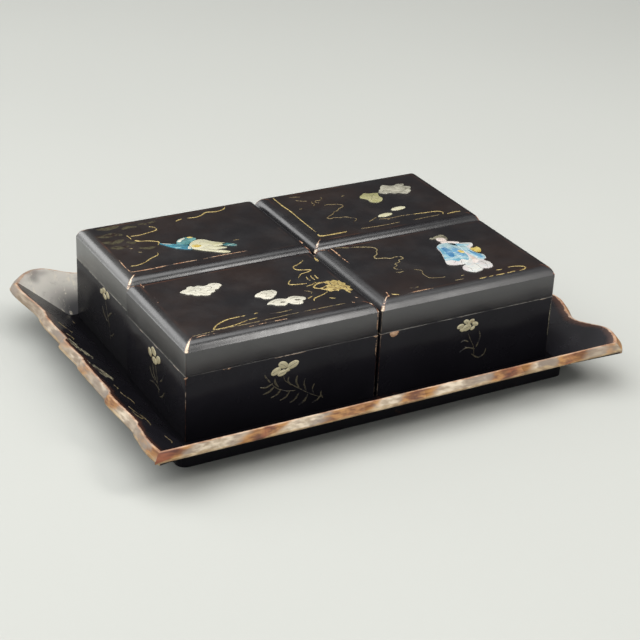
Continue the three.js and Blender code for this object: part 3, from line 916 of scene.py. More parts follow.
bare_edge = gold_paint("bare_edge", (0.55, 0.37, 0.23), (0.26, 0.095, 0.045), LACQUER_BROWN, 0.40, 0.0)
ink, _, ink_shader, _ = new_material("engraved_line")
ink_shader.inputs["Base Color"].default_value = (*INK_COLOUR, 1.0)
ink_shader.inputs["Roughness"].default_value = INK_GLOSS


def lid_stroke(width, *points):
    return stroke(LID_PLANE, LID_BRUSH * width, *points)


def lid_shell(outline, height=SHELL_HEIGHT):
    return plaque(LID_PLANE, outline, height)


def engraved(*points, width=CUT_WIDTH):
    """A dark line cut into shell on a lid."""
    return stroke(LID_PLANE, width, *points, height=FILM_HEIGHT, base=SHELL_HEIGHT)


def engraved_oval(*measures):
    return plaque(LID_PLANE, oval(*measures), FILM_HEIGHT, base=SHELL_HEIGHT)


def pine_line(width, *points):
    """A dark line drawn into the gold of the pine."""
    return stroke(LID_PLANE, width, *points, height=PINE_LINE_HEIGHT, base=PINE_HEIGHT)


ornament("cloud_long", (
    (pearl_white, [lid_shell((
        (-102, -25.2), (-99.6, -23.4), (-97, -22.6), (-95.6, -20.6), (-93, -20.2), (-91.4, -21.6), (-89, -21),
        (-86.6, -22.6), (-83.8, -22.8), (-82, -21.6), (-79, -21.6), (-76.4, -23), (-75.4, -25.6),
        (-77.4, -27.4), (-79, -29.2), (-81.6, -29.6), (-82.6, -31.8), (-85.2, -32.6), (-87, -34.6),
        (-90, -34.4), (-92, -33), (-93.6, -33), (-95.6, -32), (-97, -29.8), (-99.2, -29.2), (-100.4, -27.2),
    ))]),
    (ink, [
        engraved((-97.6, -26.6), (-94.6, -25.4), (-92.6, -26.6), (-93.6, -28.6)),
        engraved((-92.4, -23.4), (-89.8, -24.4), (-89.2, -26.6), (-91, -28.2)),
        engraved((-85.6, -24.4), (-83.2, -24.8), (-82.4, -27), (-84.6, -28.6)),
        engraved((-95.2, -30.4), (-92.6, -30), (-90.4, -31.2), (-89.2, -33.2)),
        engraved((-87.4, -29.4), (-84.8, -29.4), (-83.8, -31)),
        engraved((-80.6, -24.2), (-78.6, -23.6), (-77, -24.8)),
    ]),
), "front_left_lid", "pearl", "inlay_cloud_long")
ornament("cloud_small", (
    (pearl_white, [lid_shell((
        (-64.5, -47.5), (-61.8, -44.6), (-60, -44.2), (-57.5, -43), (-54, -43.4), (-51, -44), (-49.8, -47),
        (-51.2, -49.4), (-53, -51), (-55, -52.8), (-57, -53.5), (-59.6, -53), (-61, -52), (-62, -49.6),
    ))]),
    (ink, [
        engraved((-60.6, -46.6), (-58, -45.6), (-56.4, -47.2), (-58, -49)),
        engraved((-55, -45.4), (-52.6, -46), (-52.6, -48.2)),
        engraved((-59.6, -50.6), (-57, -50.4), (-55.6, -51.6)),
    ]),
), "front_left_lid", "pearl", "inlay_cloud_small")
ornament("cloud_looped", (
    (pearl_white, [lid_shell((
        (-62.5, -59.5), (-60, -57.2), (-57, -56), (-54, -55.6), (-51, -56.5), (-49, -57.5), (-46.6, -56.2),
        (-44, -56), (-41, -57.4), (-38, -60), (-38.8, -62.4), (-41, -63), (-42, -65.6), (-44, -66.5),
        (-47, -65.8), (-49, -64), (-50, -62.4), (-52, -64), (-54, -64.5), (-56, -63.4), (-58, -63),
        (-60, -60.4),
    ))]),
    (ink, [
        engraved_oval(-53, -60.8, 1.7, 0.75, -20),
        engraved_oval(-43.7, -61.6, 1.9, 0.8, -20),
        engraved((-59, -59.4), (-56.4, -57.8), (-53, -57.8), (-50.4, -59.4)),
        engraved((-47.4, -59.2), (-44.6, -58), (-41.4, -59.2)),
        engraved((-48, -62.8), (-46.4, -64.2), (-43.6, -64.6)),
    ]),
), "front_left_lid", "pearl", "inlay_cloud_looped")
ornament("front_left_gold", (
    (gold, [
        lid_stroke(1.5, (-104, -75), (-103, -73.6), (-99, -70), (-92, -67), (-86, -66.5), (-80, -66.5)),
        lid_stroke(1.4, (-104, -75), (-98, -75.4), (-90, -74.6), (-82, -72.4), (-75, -71.6)),
        lid_stroke(1.1, (-74.4, -66.6), (-72, -66.3)),
        lid_stroke(2.3, (-6.5, -13.6), (-6.8, -16.5), (-7, -19.4)),
        lid_stroke(1.5, (-15, -14.5), (-20, -18), (-24.5, -20), (-25, -24), (-21, -26.5), (-17, -28),
                   (-20, -30), (-25, -31), (-29, -35)),
        lid_stroke(1.4, (-35, -36), (-37.5, -38.5), (-38, -41), (-34, -42.5), (-28, -44)),
        lid_stroke(1.4, (-24, -35.6), (-24.6, -38.4), (-24.2, -41)),
        lid_stroke(1.4, (-21, -35.2), (-21.4, -38.4), (-21.2, -41.2)),
        lid_stroke(1.4, (-18.4, -35.8), (-18.6, -38.6), (-18.8, -41)),
        lid_stroke(1.2, (-30, -47), (-26, -46.4), (-22, -44.4)),
        lid_stroke(1.3, (-22, -58.5), (-27, -61), (-33, -63), (-35, -66)),
        lid_stroke(1.1, (-37, -62), (-33, -60)),
        lid_stroke(1.1, (-25, -66), (-22, -68)),
        lid_stroke(2.6, (-17, -46.4), (-21, -46.2), (-25, -48.2), (-26.6, -50.8), (-23.6, -53), (-20, -51.8)),
        lid_stroke(2.0, (-24, -53.4), (-21, -56), (-19.4, -59.4)),
        lid_shell((
            (-18, -47.2), (-15.4, -45.6), (-13.4, -46.8), (-11.6, -45.8), (-9.6, -48.2), (-8.4, -47.8),
            (-8.4, -51), (-6.8, -52.4), (-7.8, -55), (-6.4, -57.6), (-7.6, -59.6), (-7.2, -62.4),
            (-9.2, -62.8), (-10.4, -65.2), (-11.4, -62.4), (-11.6, -59.6), (-13.6, -58.6), (-15.4, -60),
            (-17.6, -58.8), (-20.8, -58.4), (-20, -56), (-21.6, -54.6), (-19, -53), (-19.4, -51),
            (-16.8, -50),
        ), PINE_HEIGHT),
    ]),
    (faint_gold, [
        lid_stroke(1.0, (-118, -77.5), (-108, -77), (-100, -76), (-85, -76.2), (-70, -76), (-50, -75.5)),
        lid_stroke(0.8, (-47, -75.6), (-32, -75.8), (-20, -76)),
        lid_stroke(0.9, (-66, -70.4), (-58, -71), (-52, -70.6)),
        lid_stroke(0.9, (-34, -52), (-31, -54.6), (-32, -57)),
    ]),
    (ink, [
        pine_line(0.5, (-14.6, -47.6), (-15.4, -51), (-13.4, -54.4)),
        pine_line(0.45, (-10.4, -49.4), (-11.6, -53), (-10, -58)),
        pine_line(0.4, (-18.6, -54.6), (-15.6, -56), (-13, -56.4)),
        pine_line(0.4, (-8.6, -56), (-9.6, -60), (-9.8, -63)),
    ]),
), "front_left_lid", "gold_lacquer")
ornament("front_left_bare", (
    (bare_edge, [
        lid_stroke(1.3, (-118.2, -4.6), (-118.6, -7.4), (-118, -10)),
        lid_stroke(1.2, (-117.9, -24.8), (-117.7, -26.2)),
        lid_stroke(1.0, (-117.6, -27.8), (-118, -28.8)),
        lid_stroke(1.3, (-119, -30.2), (-118.4, -31.6)),
        lid_stroke(1.2, (-116.6, -79.6), (-112, -79), (-104, -79.6)),
        lid_stroke(1.0, (-10.6, -71.6), (-9.6, -72.6)),
        lid_stroke(1.1, (-15.6, -76.6), (-14.2, -77.4)),
        lid_stroke(0.9, (-84, -79.6), (-72, -79.4), (-60, -79.8)),
    ]),
), "front_left_lid", "rim_lacquer")


# Front right lid: a robed figure that walks to the left, head bowed, with gold mist before it. The robe
# is tinted patches of shell on a pale ground, with darker folds laid on them and thin engraved lines.
ROBE_HEIGHT = 0.08
ROBE_SINK = 0.02
ROBE_FOLD_BASE = 0.51
FINE_LINE = 0.24
pearl_robe = shell("pearl_robe", (0.60, 0.60, 0.57), (0.54, 0.50, 0.50), (0.46, 0.54, 0.56), 110.0)
pearl_sky = shell("pearl_sky", (0.12, 0.31, 0.42), (0.36, 0.50, 0.53), (0.52, 0.58, 0.58), 120.0)
pearl_deep = shell("pearl_deep", (0.05, 0.17, 0.34), (0.13, 0.30, 0.46), (0.34, 0.48, 0.58), 140.0)
pearl_pink = shell("pearl_pink", (0.60, 0.51, 0.46), (0.66, 0.60, 0.57), (0.52, 0.42, 0.35))
pearl_amber = shell("pearl_amber", (0.46, 0.33, 0.06), (0.58, 0.47, 0.16), (0.66, 0.58, 0.30), 140.0)
hair_shell = shell("hair_shell", (0.13, 0.12, 0.085), (0.22, 0.205, 0.145), (0.36, 0.34, 0.26), 200.0)
soft_gold = gold_paint("soft_gold", (0.38, 0.31, 0.16), (0.19, 0.145, 0.07), LACQUER_BROWN, 0.32, 0.3)


def fine_line(*points):
    return engraved(*points, width=FINE_LINE)


def robe_patch(outline):
    return plaque(LID_PLANE, outline, ROBE_HEIGHT, base=SHELL_HEIGHT - ROBE_SINK)


def robe_fold(outline, base=ROBE_FOLD_BASE):
    return plaque(LID_PLANE, outline, FILM_HEIGHT, base=base)


ornament("robed_figure", (
    (pearl_robe, [
        lid_shell((
            (73.4, -29), (77.2, -27.8), (81.6, -28.6), (86.4, -31.2), (90.6, -32.4), (94.8, -34.4),
            (93.6, -38), (90.6, -40.2), (88.8, -42.6), (89.8, -48.6), (92.2, -52), (91.4, -56.4),
            (88.2, -58.8), (89.8, -63.4), (88.4, -68.4), (85, -70), (81, -69), (79.6, -70.4),
            (76.6, -71.4), (72.4, -71), (69, -66.4), (70.4, -62), (74.4, -59.6), (71, -58.8),
            (66.2, -57.6), (63.8, -54.6), (66.8, -46), (69.4, -38.4), (70.6, -32),
        ), 0.43),
    ]),
    (pearl_sky, [
        robe_patch(((70.8, -31.9), (73.5, -29.4), (77.4, -28.4), (81.6, -29.2), (84, -32), (83.6, -39),
                    (82.6, -46), (81.6, -51), (78.8, -55.4), (75.6, -52.6), (72.4, -54.6), (69, -51.6),
                    (65.3, -50.4), (67, -46), (69.6, -38.4))),
        robe_patch(((80, -30), (84, -31.2), (88, -33.2), (91.8, -35.4), (90, -37.4), (86, -36.8),
                    (83, -34.2))),
        robe_patch(((84.4, -36), (88.4, -38), (88.4, -42.8), (89.4, -48.6), (91.7, -52), (90.9, -56.2),
                    (88, -58.2), (86, -56), (84.8, -50), (84, -43))),
    ]),
    (pearl_deep, [
        robe_fold(((72.6, -34), (75, -33), (76.2, -38), (75.6, -44), (73, -48), (70.8, -46), (71.8, -39))),
        robe_fold(((77.6, -38), (80.4, -36.6), (82, -41), (81.4, -46.6), (79, -50), (77.2, -45))),
        robe_fold(((86.4, -41), (87.4, -45), (89.2, -50.4), (90, -54.6), (87.8, -56.4), (86.4, -50))),
    ]),
    (pearl_pink, [
        robe_patch(((82.4, -51), (84.2, -51), (84.6, -57.6), (82.4, -60.4), (79.8, -59.6), (81.6, -55))),
        lid_shell(((77.2, -25.6), (80.4, -25.8), (84.4, -27.4), (88.2, -30.4), (86, -31.8), (82, -31),
                   (78.6, -29.2)), 0.5),
        lid_shell(oval(79.7, -22.8, 2.8, 3.6, 24), 0.46),
    ]),
    (pearl_amber, [
        lid_shell(((89.4, -40.8), (92, -41.2), (94.8, -40.6), (95.4, -44), (93.2, -47.6), (90.4, -47),
                   (89.4, -44))),
        robe_fold(((79.8, -41.8), (81.4, -41), (83, -43.6), (82, -46), (80.2, -44.8)), ROBE_FOLD_BASE + 0.03),
    ]),
    (hair_shell, [
        lid_shell(((76.4, -20.6), (76.2, -18.4), (78.6, -17), (81.6, -16.8), (84.2, -18.4), (84.6, -21.4),
                   (83.4, -24.6), (82.6, -22.4), (81, -20.6), (78.8, -20)), 0.5),
        lid_shell(oval(83, -17.4, 1.8, 1.1, -30), 0.54),
        lid_shell(oval(75.2, -18.8, 1.5, 1.0, -15), 0.4),
    ]),
    (ink, [
        fine_line((77.6, -22.4), (78.5, -22), (79.3, -22.3)),
        engraved((77.5, -21.3), (78.5, -20.9), (79.4, -21.2), width=0.18),
        engraved((77.7, -25), (78.5, -25.2), width=0.26),
        fine_line((78, -18.6), (81, -17.4), (84.4, -18.6)),
        fine_line((71.6, -51.6), (70.4, -54), (68, -56)),
        fine_line((74.6, -53), (73.6, -56), (72.4, -58)),
        fine_line((82.6, -31.4), (83.6, -34.4)),
        fine_line((86.6, -33.4), (89.4, -35.4), (92.4, -36.6)),
        fine_line((72, -63), (73.4, -66.4), (72.6, -70)),
        fine_line((79.4, -61.4), (80.2, -65), (79.4, -69.4)),
        fine_line((84.4, -60), (86, -64), (84.4, -68.6)),
    ]),
), "front_right_lid", "tinted_pearl", "inlay_robed_figure")
ornament("front_right_gold", (
    (gold, [
        lid_stroke(1.7, (11, -76.6), (13, -78), (15, -79)),
        lid_stroke(1.3, (71, -80), (76, -79.8)),
        lid_stroke(1.2, (78, -80), (81, -79.8)),
        lid_stroke(1.3, (83, -80), (89, -80.1)),
        lid_stroke(1.2, (91, -80.1), (97, -79.8)),
        lid_stroke(1.3, (96, -73.5), (101, -74), (106, -76.6), (104.4, -79.4), (100, -80.3)),
        lid_stroke(1.1, (87, -74), (91, -74.5)),
    ]),
    (soft_gold, [
        lid_stroke(1.2, (12, -6.5), (16, -7.6), (20, -9.6), (24, -10.2), (28, -11.8), (31.6, -13.4),
                   (34.4, -15.6), (35, -18.6), (33, -21.4), (31.6, -24.6), (28.4, -26.8), (27.4, -29.4),
                   (29.6, -30.6), (33.4, -31.6), (36, -33.4), (40, -32.8), (43.4, -34), (43, -36.6),
                   (39.4, -37.6), (38.6, -40), (34.6, -41.4), (34.4, -44), (31, -46), (31.6, -48.4),
                   (34, -50)),
        lid_stroke(1.2, (29, -52), (31.5, -52.8), (34, -52.5)),
    ]),
    (faint_gold, [
        lid_stroke(0.9, (41, -53), (44.5, -56), (43, -60), (43, -64), (44, -67), (49, -69), (53, -69.5)),
        lid_stroke(1.0, (25, -74), (28, -75), (31, -74.6)),
        lid_stroke(1.0, (62.8, -72), (65.2, -72)),
        lid_stroke(0.9, (56, -76), (62, -76.4)),
    ]),
), "front_right_lid", "gold_lacquer")
ornament("front_right_bare", (
    (bare_edge, [
        lid_stroke(1.7, (9, -6), (9.3, -12), (9, -20), (9.2, -30)),
        lid_stroke(1.6, (7.6, -79.2), (8.8, -77), (9.4, -73)),
        lid_stroke(0.9, (20, -79.8), (30, -79.6), (38, -79.9)),
    ]),
), "front_right_lid", "rim_lacquer")


# Back left lid: a long-winged bird in blue and cream shell, with mist in gold before and behind it. At
# the far left corner the gold has all but rubbed away, and a dust of it is left.
pearl_cream = shell("pearl_cream", (0.52, 0.50, 0.33), (0.58, 0.56, 0.42), (0.40, 0.38, 0.21))
pearl_blue = shell("pearl_blue", (0.015, 0.115, 0.185), (0.045, 0.225, 0.30), (0.22, 0.42, 0.46), 140.0)
pearl_teal = shell("pearl_teal", (0.03, 0.12, 0.13), (0.12, 0.28, 0.28), (0.40, 0.50, 0.44), 140.0)
gold_dust = gold_paint("gold_dust", (0.072, 0.064, 0.036), (0.042, 0.036, 0.022), LACQUER_BROWN, 0.40, 0.0)


def dusting(width, *points):
    """Gold dust that has all but rubbed away, too thin to stand up from the lid."""
    return stroke(LID_PLANE, width, *points, height=FILM_HEIGHT)


ornament("long_winged_bird", (
    (pearl_cream, [
        lid_shell(((-69.4, 33), (-67, 36), (-64, 37.8), (-60.4, 38.4), (-57.4, 36.8), (-55.6, 34.4),
                   (-52.6, 31), (-49.4, 28.6), (-47.4, 26.4), (-50.6, 25.4), (-54.6, 25), (-51.6, 23),
                   (-49.4, 20.8), (-53.6, 20.8), (-56.4, 20.2), (-52.6, 17.4), (-50, 14.4), (-54.6, 14.6),
                   (-60, 18.8), (-65, 22.6), (-69, 26.4), (-70.4, 29.6))),
    ]),
    (pearl_blue, [
        lid_shell(((-85.4, 42.4), (-82, 40.9), (-77, 37.9), (-72.4, 34.8), (-70, 31.8), (-70, 27.4),
                   (-73, 27.6), (-77, 30.4), (-80.8, 34.4), (-83.4, 38.6))),
    ]),
    (pearl_teal, [
        lid_shell(((-75.8, 37.8), (-73.4, 42.4), (-69, 44.4), (-65.4, 44.2), (-62.4, 42.2), (-61.6, 39.8),
                   (-64.4, 38), (-68, 35), (-71, 33.6), (-73.6, 35.4))),
        lid_shell(((-50, 27.4), (-46.6, 26.6), (-44, 24.9), (-42, 21.8), (-44.6, 21.4), (-47.2, 22.6),
                   (-49.8, 24.6))),
    ]),
    (pearl_amber, [
        lid_shell(oval(-64.6, 43.1, 1.9, 1.1, -25), 0.52),
        lid_shell(((-69, 30.4), (-67.6, 32.4), (-64.6, 31.6), (-62.8, 29.4), (-64.8, 27.8), (-67.6, 28)),
                   0.52),
    ]),
    (pearl_white, [
        lid_shell(((-74.6, 39.6), (-73, 42), (-69.4, 43.7), (-67.6, 43), (-70.6, 41.2), (-72.8, 39.2)), 0.52),
        lid_shell(((-84.6, 42), (-82, 40.6), (-79, 38.6), (-80.6, 38.8), (-83.4, 40.6)), 0.52),
        lid_shell(((-71.4, 30.6), (-70.4, 31.2), (-70.3, 27.8), (-72.6, 28)), 0.52),
    ]),
    (ink, [
        fine_line((-80.6, 37.6), (-77, 34.6), (-72.4, 31.6)),
        fine_line((-79.4, 36), (-76, 32.6), (-72, 29.6)),
        fine_line((-77, 35.8), (-74, 33.4), (-71.4, 32.4)),
        fine_line((-72.6, 38.4), (-69.6, 40.4), (-66.6, 40.6)),
        fine_line((-63, 34.8), (-59.6, 34), (-56.4, 31.2)),
        fine_line((-63.6, 25.4), (-60.4, 27), (-56, 26.4)),
        fine_line((-62.6, 22.6), (-59.4, 21), (-55.6, 18)),
        fine_line((-66, 25.6), (-62, 24), (-58.4, 21)),
    ]),
), "back_left_lid", "tinted_pearl", "inlay_bird")
ornament("back_left_gold", (
    (gold, [
        lid_stroke(1.5, (-81, 69), (-78.5, 67), (-78, 64), (-80, 62), (-86, 60.5), (-92, 59.5), (-97, 60)),
        lid_stroke(1.3, (-99, 62), (-98.6, 59), (-98.5, 56)),
        lid_stroke(2.2, (-97.4, 53.2), (-94.6, 50.8)),
        lid_stroke(1.5, (-94.5, 50.6), (-90, 49.5), (-86, 47), (-84.5, 45), (-87, 41)),
        lid_stroke(1.4, (-91.5, 31), (-93, 28), (-99, 25), (-104, 21.5), (-110, 19.5), (-114, 20)),
        lid_stroke(1.7, (-62, 70), (-59.5, 71.3), (-57, 72)),
        lid_stroke(1.7, (-53, 71.5), (-47, 71), (-42, 73), (-38, 75.5), (-32, 74), (-26, 75.5), (-23, 78.6)),
    ]),
    (faint_gold, [
        lid_stroke(1.2, (-41, 29), (-39, 29.4), (-37, 29)),
        lid_stroke(1.4, (-105, 43.4), (-103, 42.6)),
        lid_stroke(1.3, (-102, 36.4), (-100, 35.6)),
    ]),
    (gold_dust, [
        dusting(5.0, (-117, 68), (-112, 66), (-107, 66.6), (-101, 64)),
        dusting(4.0, (-113, 78), (-106, 76), (-98, 77.6)),
        dusting(4.6, (-117, 58), (-110, 55.6), (-103, 57)),
        dusting(4.0, (-115, 49), (-109, 46.6), (-104, 47.4)),
        dusting(3.4, (-98, 72), (-93, 73.4), (-88, 72)),
        dusting(3.0, (-103, 53), (-98, 49.6)),
        dusting(3.0, (-99, 42), (-94, 39.4), (-89, 40)),
        dusting(2.6, (-86, 75), (-80, 74), (-74, 75.6)),
    ]),
), "back_left_lid", "gold_lacquer")
ornament("back_left_bare", (
    (bare_edge, [
        lid_stroke(1.3, (-117, 12.2), (-108, 11.6), (-100, 11.8), (-88, 12.2), (-74, 12)),
        lid_stroke(1.0, (-117.2, 13), (-117.6, 20), (-117.2, 30)),
        lid_stroke(0.9, (-70, 11.8), (-56, 12.2), (-40, 11.8)),
        lid_stroke(1.5, (-3.4, 12), (-3.2, 9.5), (-3.6, 7.6)),
    ]),
), "back_left_lid", "rim_lacquer")


# Back right lid: a ragged shell cartouche and a leaf, with two small petals of thin shell before them.
# A gold line frames them on the left, and mist in paler gold lies between.
THIN_SHELL = 0.25
THIN_DOME = 0.15
pearl_grey = shell("pearl_grey", (0.30, 0.29, 0.235), (0.42, 0.405, 0.33), (0.17, 0.16, 0.12), 160.0)
leaf_shell = shell("leaf_shell", (0.32, 0.31, 0.15), (0.41, 0.39, 0.225), (0.22, 0.21, 0.10), 130.0)
ornament("ragged_cartouche", (
    (pearl_grey, [
        lid_shell(((82, 59), (83.6, 62), (86, 64.2), (88, 67.6), (91, 69.5), (94, 67.2), (97, 66),
                   (100.4, 67.4), (103, 67), (105.5, 66), (104, 63), (106.4, 61), (107, 59), (104.4, 56.4),
                   (104, 54), (100, 51), (97, 51.5), (94, 54), (91.6, 53.8), (89, 56), (86, 56.2), (84, 57))),
    ]),
    (ink, [
        fine_line((86, 60), (90, 62.6), (94, 61.6), (98, 63.4), (102, 62.6)),
        fine_line((88, 58), (92, 59.6), (96, 58.2), (101, 59.4)),
        fine_line((88, 66), (91.4, 65), (94.6, 65.2)),
        fine_line((93, 56.2), (96.4, 55), (99.6, 52.8)),
        fine_line((98, 65.6), (101.6, 65.4), (104, 64)),
        fine_line((84.6, 59), (87.4, 61.8), (89, 64.4)),
        fine_line((97, 54.6), (100, 56), (102.6, 57.6)),
    ]),
), "back_right_lid", "pearl", "inlay_cartouche")
ornament("shell_leaf", (
    (leaf_shell, [
        lid_shell(((66, 56), (67, 58.6), (69, 60), (72, 62), (75, 60.4), (78, 60), (81, 59), (80, 56.6),
                   (79, 54), (79.6, 51.4), (79, 49), (76, 46), (72, 45.5), (69, 48), (69, 52))),
    ]),
    (ink, [
        fine_line((69, 48.6), (72.4, 52), (75, 56), (78.6, 58.6)),
        fine_line((73, 52.6), (76.4, 52.4)),
        fine_line((74.4, 55), (71, 57.4)),
    ]),
), "back_right_lid", "pearl", "inlay_leaf")
ornament("back_right_petals", (
    (pearl_cream, [
        plaque(LID_PLANE, oval(80.5, 31.5, 5.6, 2.4, 6), THIN_SHELL, THIN_DOME),
        plaque(LID_PLANE, oval(67, 25.5, 5.5, 2.3, 6), THIN_SHELL, THIN_DOME),
    ]),
), "back_right_lid", "pearl")
ornament("back_right_gold", (
    (gold, [
        lid_stroke(1.5, (12.5, 79), (12.3, 66), (13, 55), (12.6, 40), (12.5, 20)),
        lid_stroke(2.5, (12, 16), (11.9, 13.8), (14, 12.9), (20, 12.5), (31, 12.5)),
        lid_stroke(1.6, (106, 11.5), (113, 12), (116, 11.5)),
        lid_stroke(1.3, (85, 19.5), (95, 18.5), (102, 17.5), (104.5, 15), (103, 11.8)),
    ]),
    (faint_gold, [
        lid_stroke(0.9, (42.4, 68), (41.6, 65.4), (39, 63.8), (36.4, 64.4), (35.4, 62), (37, 60.2)),
        lid_stroke(0.9, (33.4, 64), (32.4, 61.6), (33, 59), (31, 57.4)),
        lid_stroke(1.2, (38, 55), (41, 55.6), (44, 54.2), (47, 53.4), (49.4, 51), (48, 48.4), (44.6, 47),
                   (42, 44.4), (39, 43.4), (36.4, 40.6), (33, 38.6), (30, 36.4), (31.4, 34.6), (35, 35),
                   (38, 33.6), (41.6, 33.4), (44, 30.8), (46.6, 28.6), (45.6, 26), (42.6, 24.2), (41, 21.5)),
        lid_stroke(1.4, (52, 20.5), (57, 23), (60, 25)),
        lid_stroke(1.2, (42, 13), (55, 12), (70, 12)),
        lid_stroke(1.0, (80, 11.5), (90, 11.9), (100, 12)),
        lid_stroke(0.9, (23, 76), (30, 74)),
        lid_stroke(1.2, (20, 56), (22, 56.2)),
        lid_stroke(1.2, (56, 64), (58, 64.4)),
        lid_stroke(1.2, (65, 19), (67, 19.2)),
        lid_stroke(1.2, (77, 20), (79, 20.2)),
        lid_stroke(1.1, (60, 21.4), (68, 20), (76, 20.4), (85, 19.5)),
        lid_stroke(1.0, (24, 70), (28, 67), (31, 66)),
    ]),
), "back_right_lid", "gold_lacquer")


# The walls. On the front and left faces of the boxes, a flower of worn shell petals over stems and lance
# leaves in dim gold. The petals swell a little, the leaves are one thin coat of the brush.
front_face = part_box("front_left_box_wall_front")[0].y / MM
front_left_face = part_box("front_left_box_wall_left")[0].x / MM
back_left_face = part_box("back_left_box_wall_left")[0].x / MM
FRONT_PLANE = surface((0, front_face, 0), (1, 0, 0), (0, 0, 1), (0, -1, 0))
FRONT_LEFT_PLANE = surface((front_left_face, 0, 0), (0, 1, 0), (0, 0, 1), (-1, 0, 0))
BACK_LEFT_PLANE = surface((back_left_face, 0, 0), (0, 1, 0), (0, 0, 1), (-1, 0, 0))
PETAL_HEIGHT = 0.22
PETAL_DOME = 0.12
VEIN_WIDTH = 0.35
VEIN_BASE = 0.3
WALL_BRUSH = 0.65
LEAF_HEIGHT = 0.1
pearl_old = shell("pearl_old", (0.46, 0.41, 0.26), (0.55, 0.49, 0.32), (0.30, 0.22, 0.11))
dim_gold = gold_paint("dim_gold", (0.12, 0.102, 0.064), (0.06, 0.052, 0.034), LACQUER_BLACK, 0.40, 0.3)


def flower(plane, *petals):
    return [plaque(plane, oval(*petal), PETAL_HEIGHT, PETAL_DOME) for petal in petals]


def veins(plane, *strokes):
    """Dark lines cut into the petals of a flower."""
    return [stroke(plane, VEIN_WIDTH, *points, height=FILM_HEIGHT, base=VEIN_BASE) for points in strokes]


def leaves(plane, *strokes):
    return [stroke(plane, WALL_BRUSH * width, *points, height=LEAF_HEIGHT) for width, *points in strokes]


ornament("front_left_flower", (
    (pearl_old, flower(
        FRONT_PLANE, (-69.2, 44.4, 3.4, 2.1, 30), (-64.6, 47.7, 3.3, 2.3, -25), (-58.2, 46.6, 3.9, 2.3, 20),
        (-65.2, 42.6, 3.1, 1.9, 15), (-61.6, 43.8, 1.5, 1.1, 0),
    )),
    (ink, veins(
        FRONT_PLANE, ((-71.4, 43.6), (-69, 44.6), (-67, 45.4)), ((-66.6, 48.8), (-64.6, 47.8), (-63, 46.4)),
        ((-60.6, 45.6), (-58.4, 46.8), (-55.8, 47.6)), ((-67.4, 42), (-65.2, 42.8), (-63.2, 43.2)),
    )),
    (dim_gold, leaves(
        FRONT_PLANE,
        (0.7, (-64, 41), (-63, 37), (-58, 33), (-54, 30), (-47, 25), (-40, 21)),
        (0.7, (-72, 37), (-68, 33), (-62, 30), (-56, 29)),
        (1.7, (-79, 36), (-75, 35.2), (-71, 37)), (1.7, (-77, 31), (-73, 32), (-70, 34.6)),
        (1.8, (-72, 27.6), (-68, 29), (-65.6, 32)), (1.8, (-66, 24.6), (-62, 26), (-59.6, 29.6)),
        (1.8, (-59.6, 21.4), (-56, 23), (-53.6, 27)), (1.8, (-53.6, 18.6), (-50, 20.4), (-47.6, 24.6)),
        (1.6, (-76.4, 44), (-75.4, 41.6), (-72.6, 38)), (1.7, (-69.6, 40), (-69.4, 37), (-67, 33.6)),
        (1.7, (-60.6, 39), (-61, 36), (-58.8, 33)), (1.7, (-55, 38.6), (-55.6, 34.6), (-53.6, 30)),
        (1.7, (-49.6, 35.6), (-50.4, 31.6), (-48.6, 27)), (1.6, (-43.6, 30.6), (-44.8, 27), (-43.4, 23.4)),
        (1.6, (-44.6, 18), (-41.4, 19), (-38.6, 22)), (1.3, (-38.4, 25), (-39, 22.4), (-37.4, 19.6)),
    )),
), "front_left_box", "pearl")
ornament("front_right_flower", (
    (pearl_old, flower(
        FRONT_PLANE, (56.2, 47.0, 2.5, 1.5, 20), (60.4, 49.3, 2.2, 1.5, -20), (64.2, 49, 2.0, 1.4, 20),
        (66.8, 46.6, 2.3, 1.5, -20), (60.8, 45.2, 3.3, 2.2, 10), (57.4, 44.2, 1.7, 1.1, -30),
        (65.2, 44, 1.8, 1.1, 30), (61.8, 47.4, 1.6, 1.2, 0),
    )),
    (ink, veins(
        FRONT_PLANE, ((54.6, 46.6), (56.4, 47.2), (58, 47.6)), ((59.6, 49.8), (60.8, 48.8), (61.2, 47.6)),
        ((64.6, 49.4), (63.6, 48.2), (62.6, 47.2)), ((68, 46), (66.2, 46.6), (64.4, 46.6)),
        ((58.6, 44.6), (60.6, 45.4), (63, 45.8)),
    )),
    (dim_gold, leaves(
        FRONT_PLANE,
        (0.7, (62, 42), (64, 37), (67, 31), (68, 25)), (1.5, (57, 29), (62, 31), (68, 29)),
        (1.5, (70.4, 41), (71.4, 36), (69, 30)), (1.5, (66, 26), (71, 22.4), (75, 23.6)),
        (1.4, (76.6, 27.6), (75.4, 24), (72, 22)), (1.3, (57.4, 35.6), (60, 36.4), (63, 35)),
    )),
), "front_right_box", "pearl")
ornament("front_left_side_flower", (
    (pearl_old, flower(
        FRONT_LEFT_PLANE, (-48.4, 46.2, 3.2, 2.4, -30), (-42, 48.6, 3.4, 2.4, 20),
        (-36.6, 45.8, 3.0, 2.2, 40), (-43, 43.2, 3.6, 2.1, 0),
    )),
    (dim_gold, leaves(
        FRONT_LEFT_PLANE,
        (0.7, (-44, 41), (-46, 35), (-48, 29), (-50, 21)), (1.6, (-56, 40), (-54, 36), (-50.4, 33)),
        (1.6, (-40, 40), (-42, 34), (-47, 30)), (1.6, (-57, 29), (-54, 25), (-50.6, 23)),
        (1.6, (-50, 27), (-43, 28.4), (-36, 26.6)), (1.4, (-36, 36), (-39, 32), (-44, 30.6)),
    )),
), "front_left_box", "pearl")
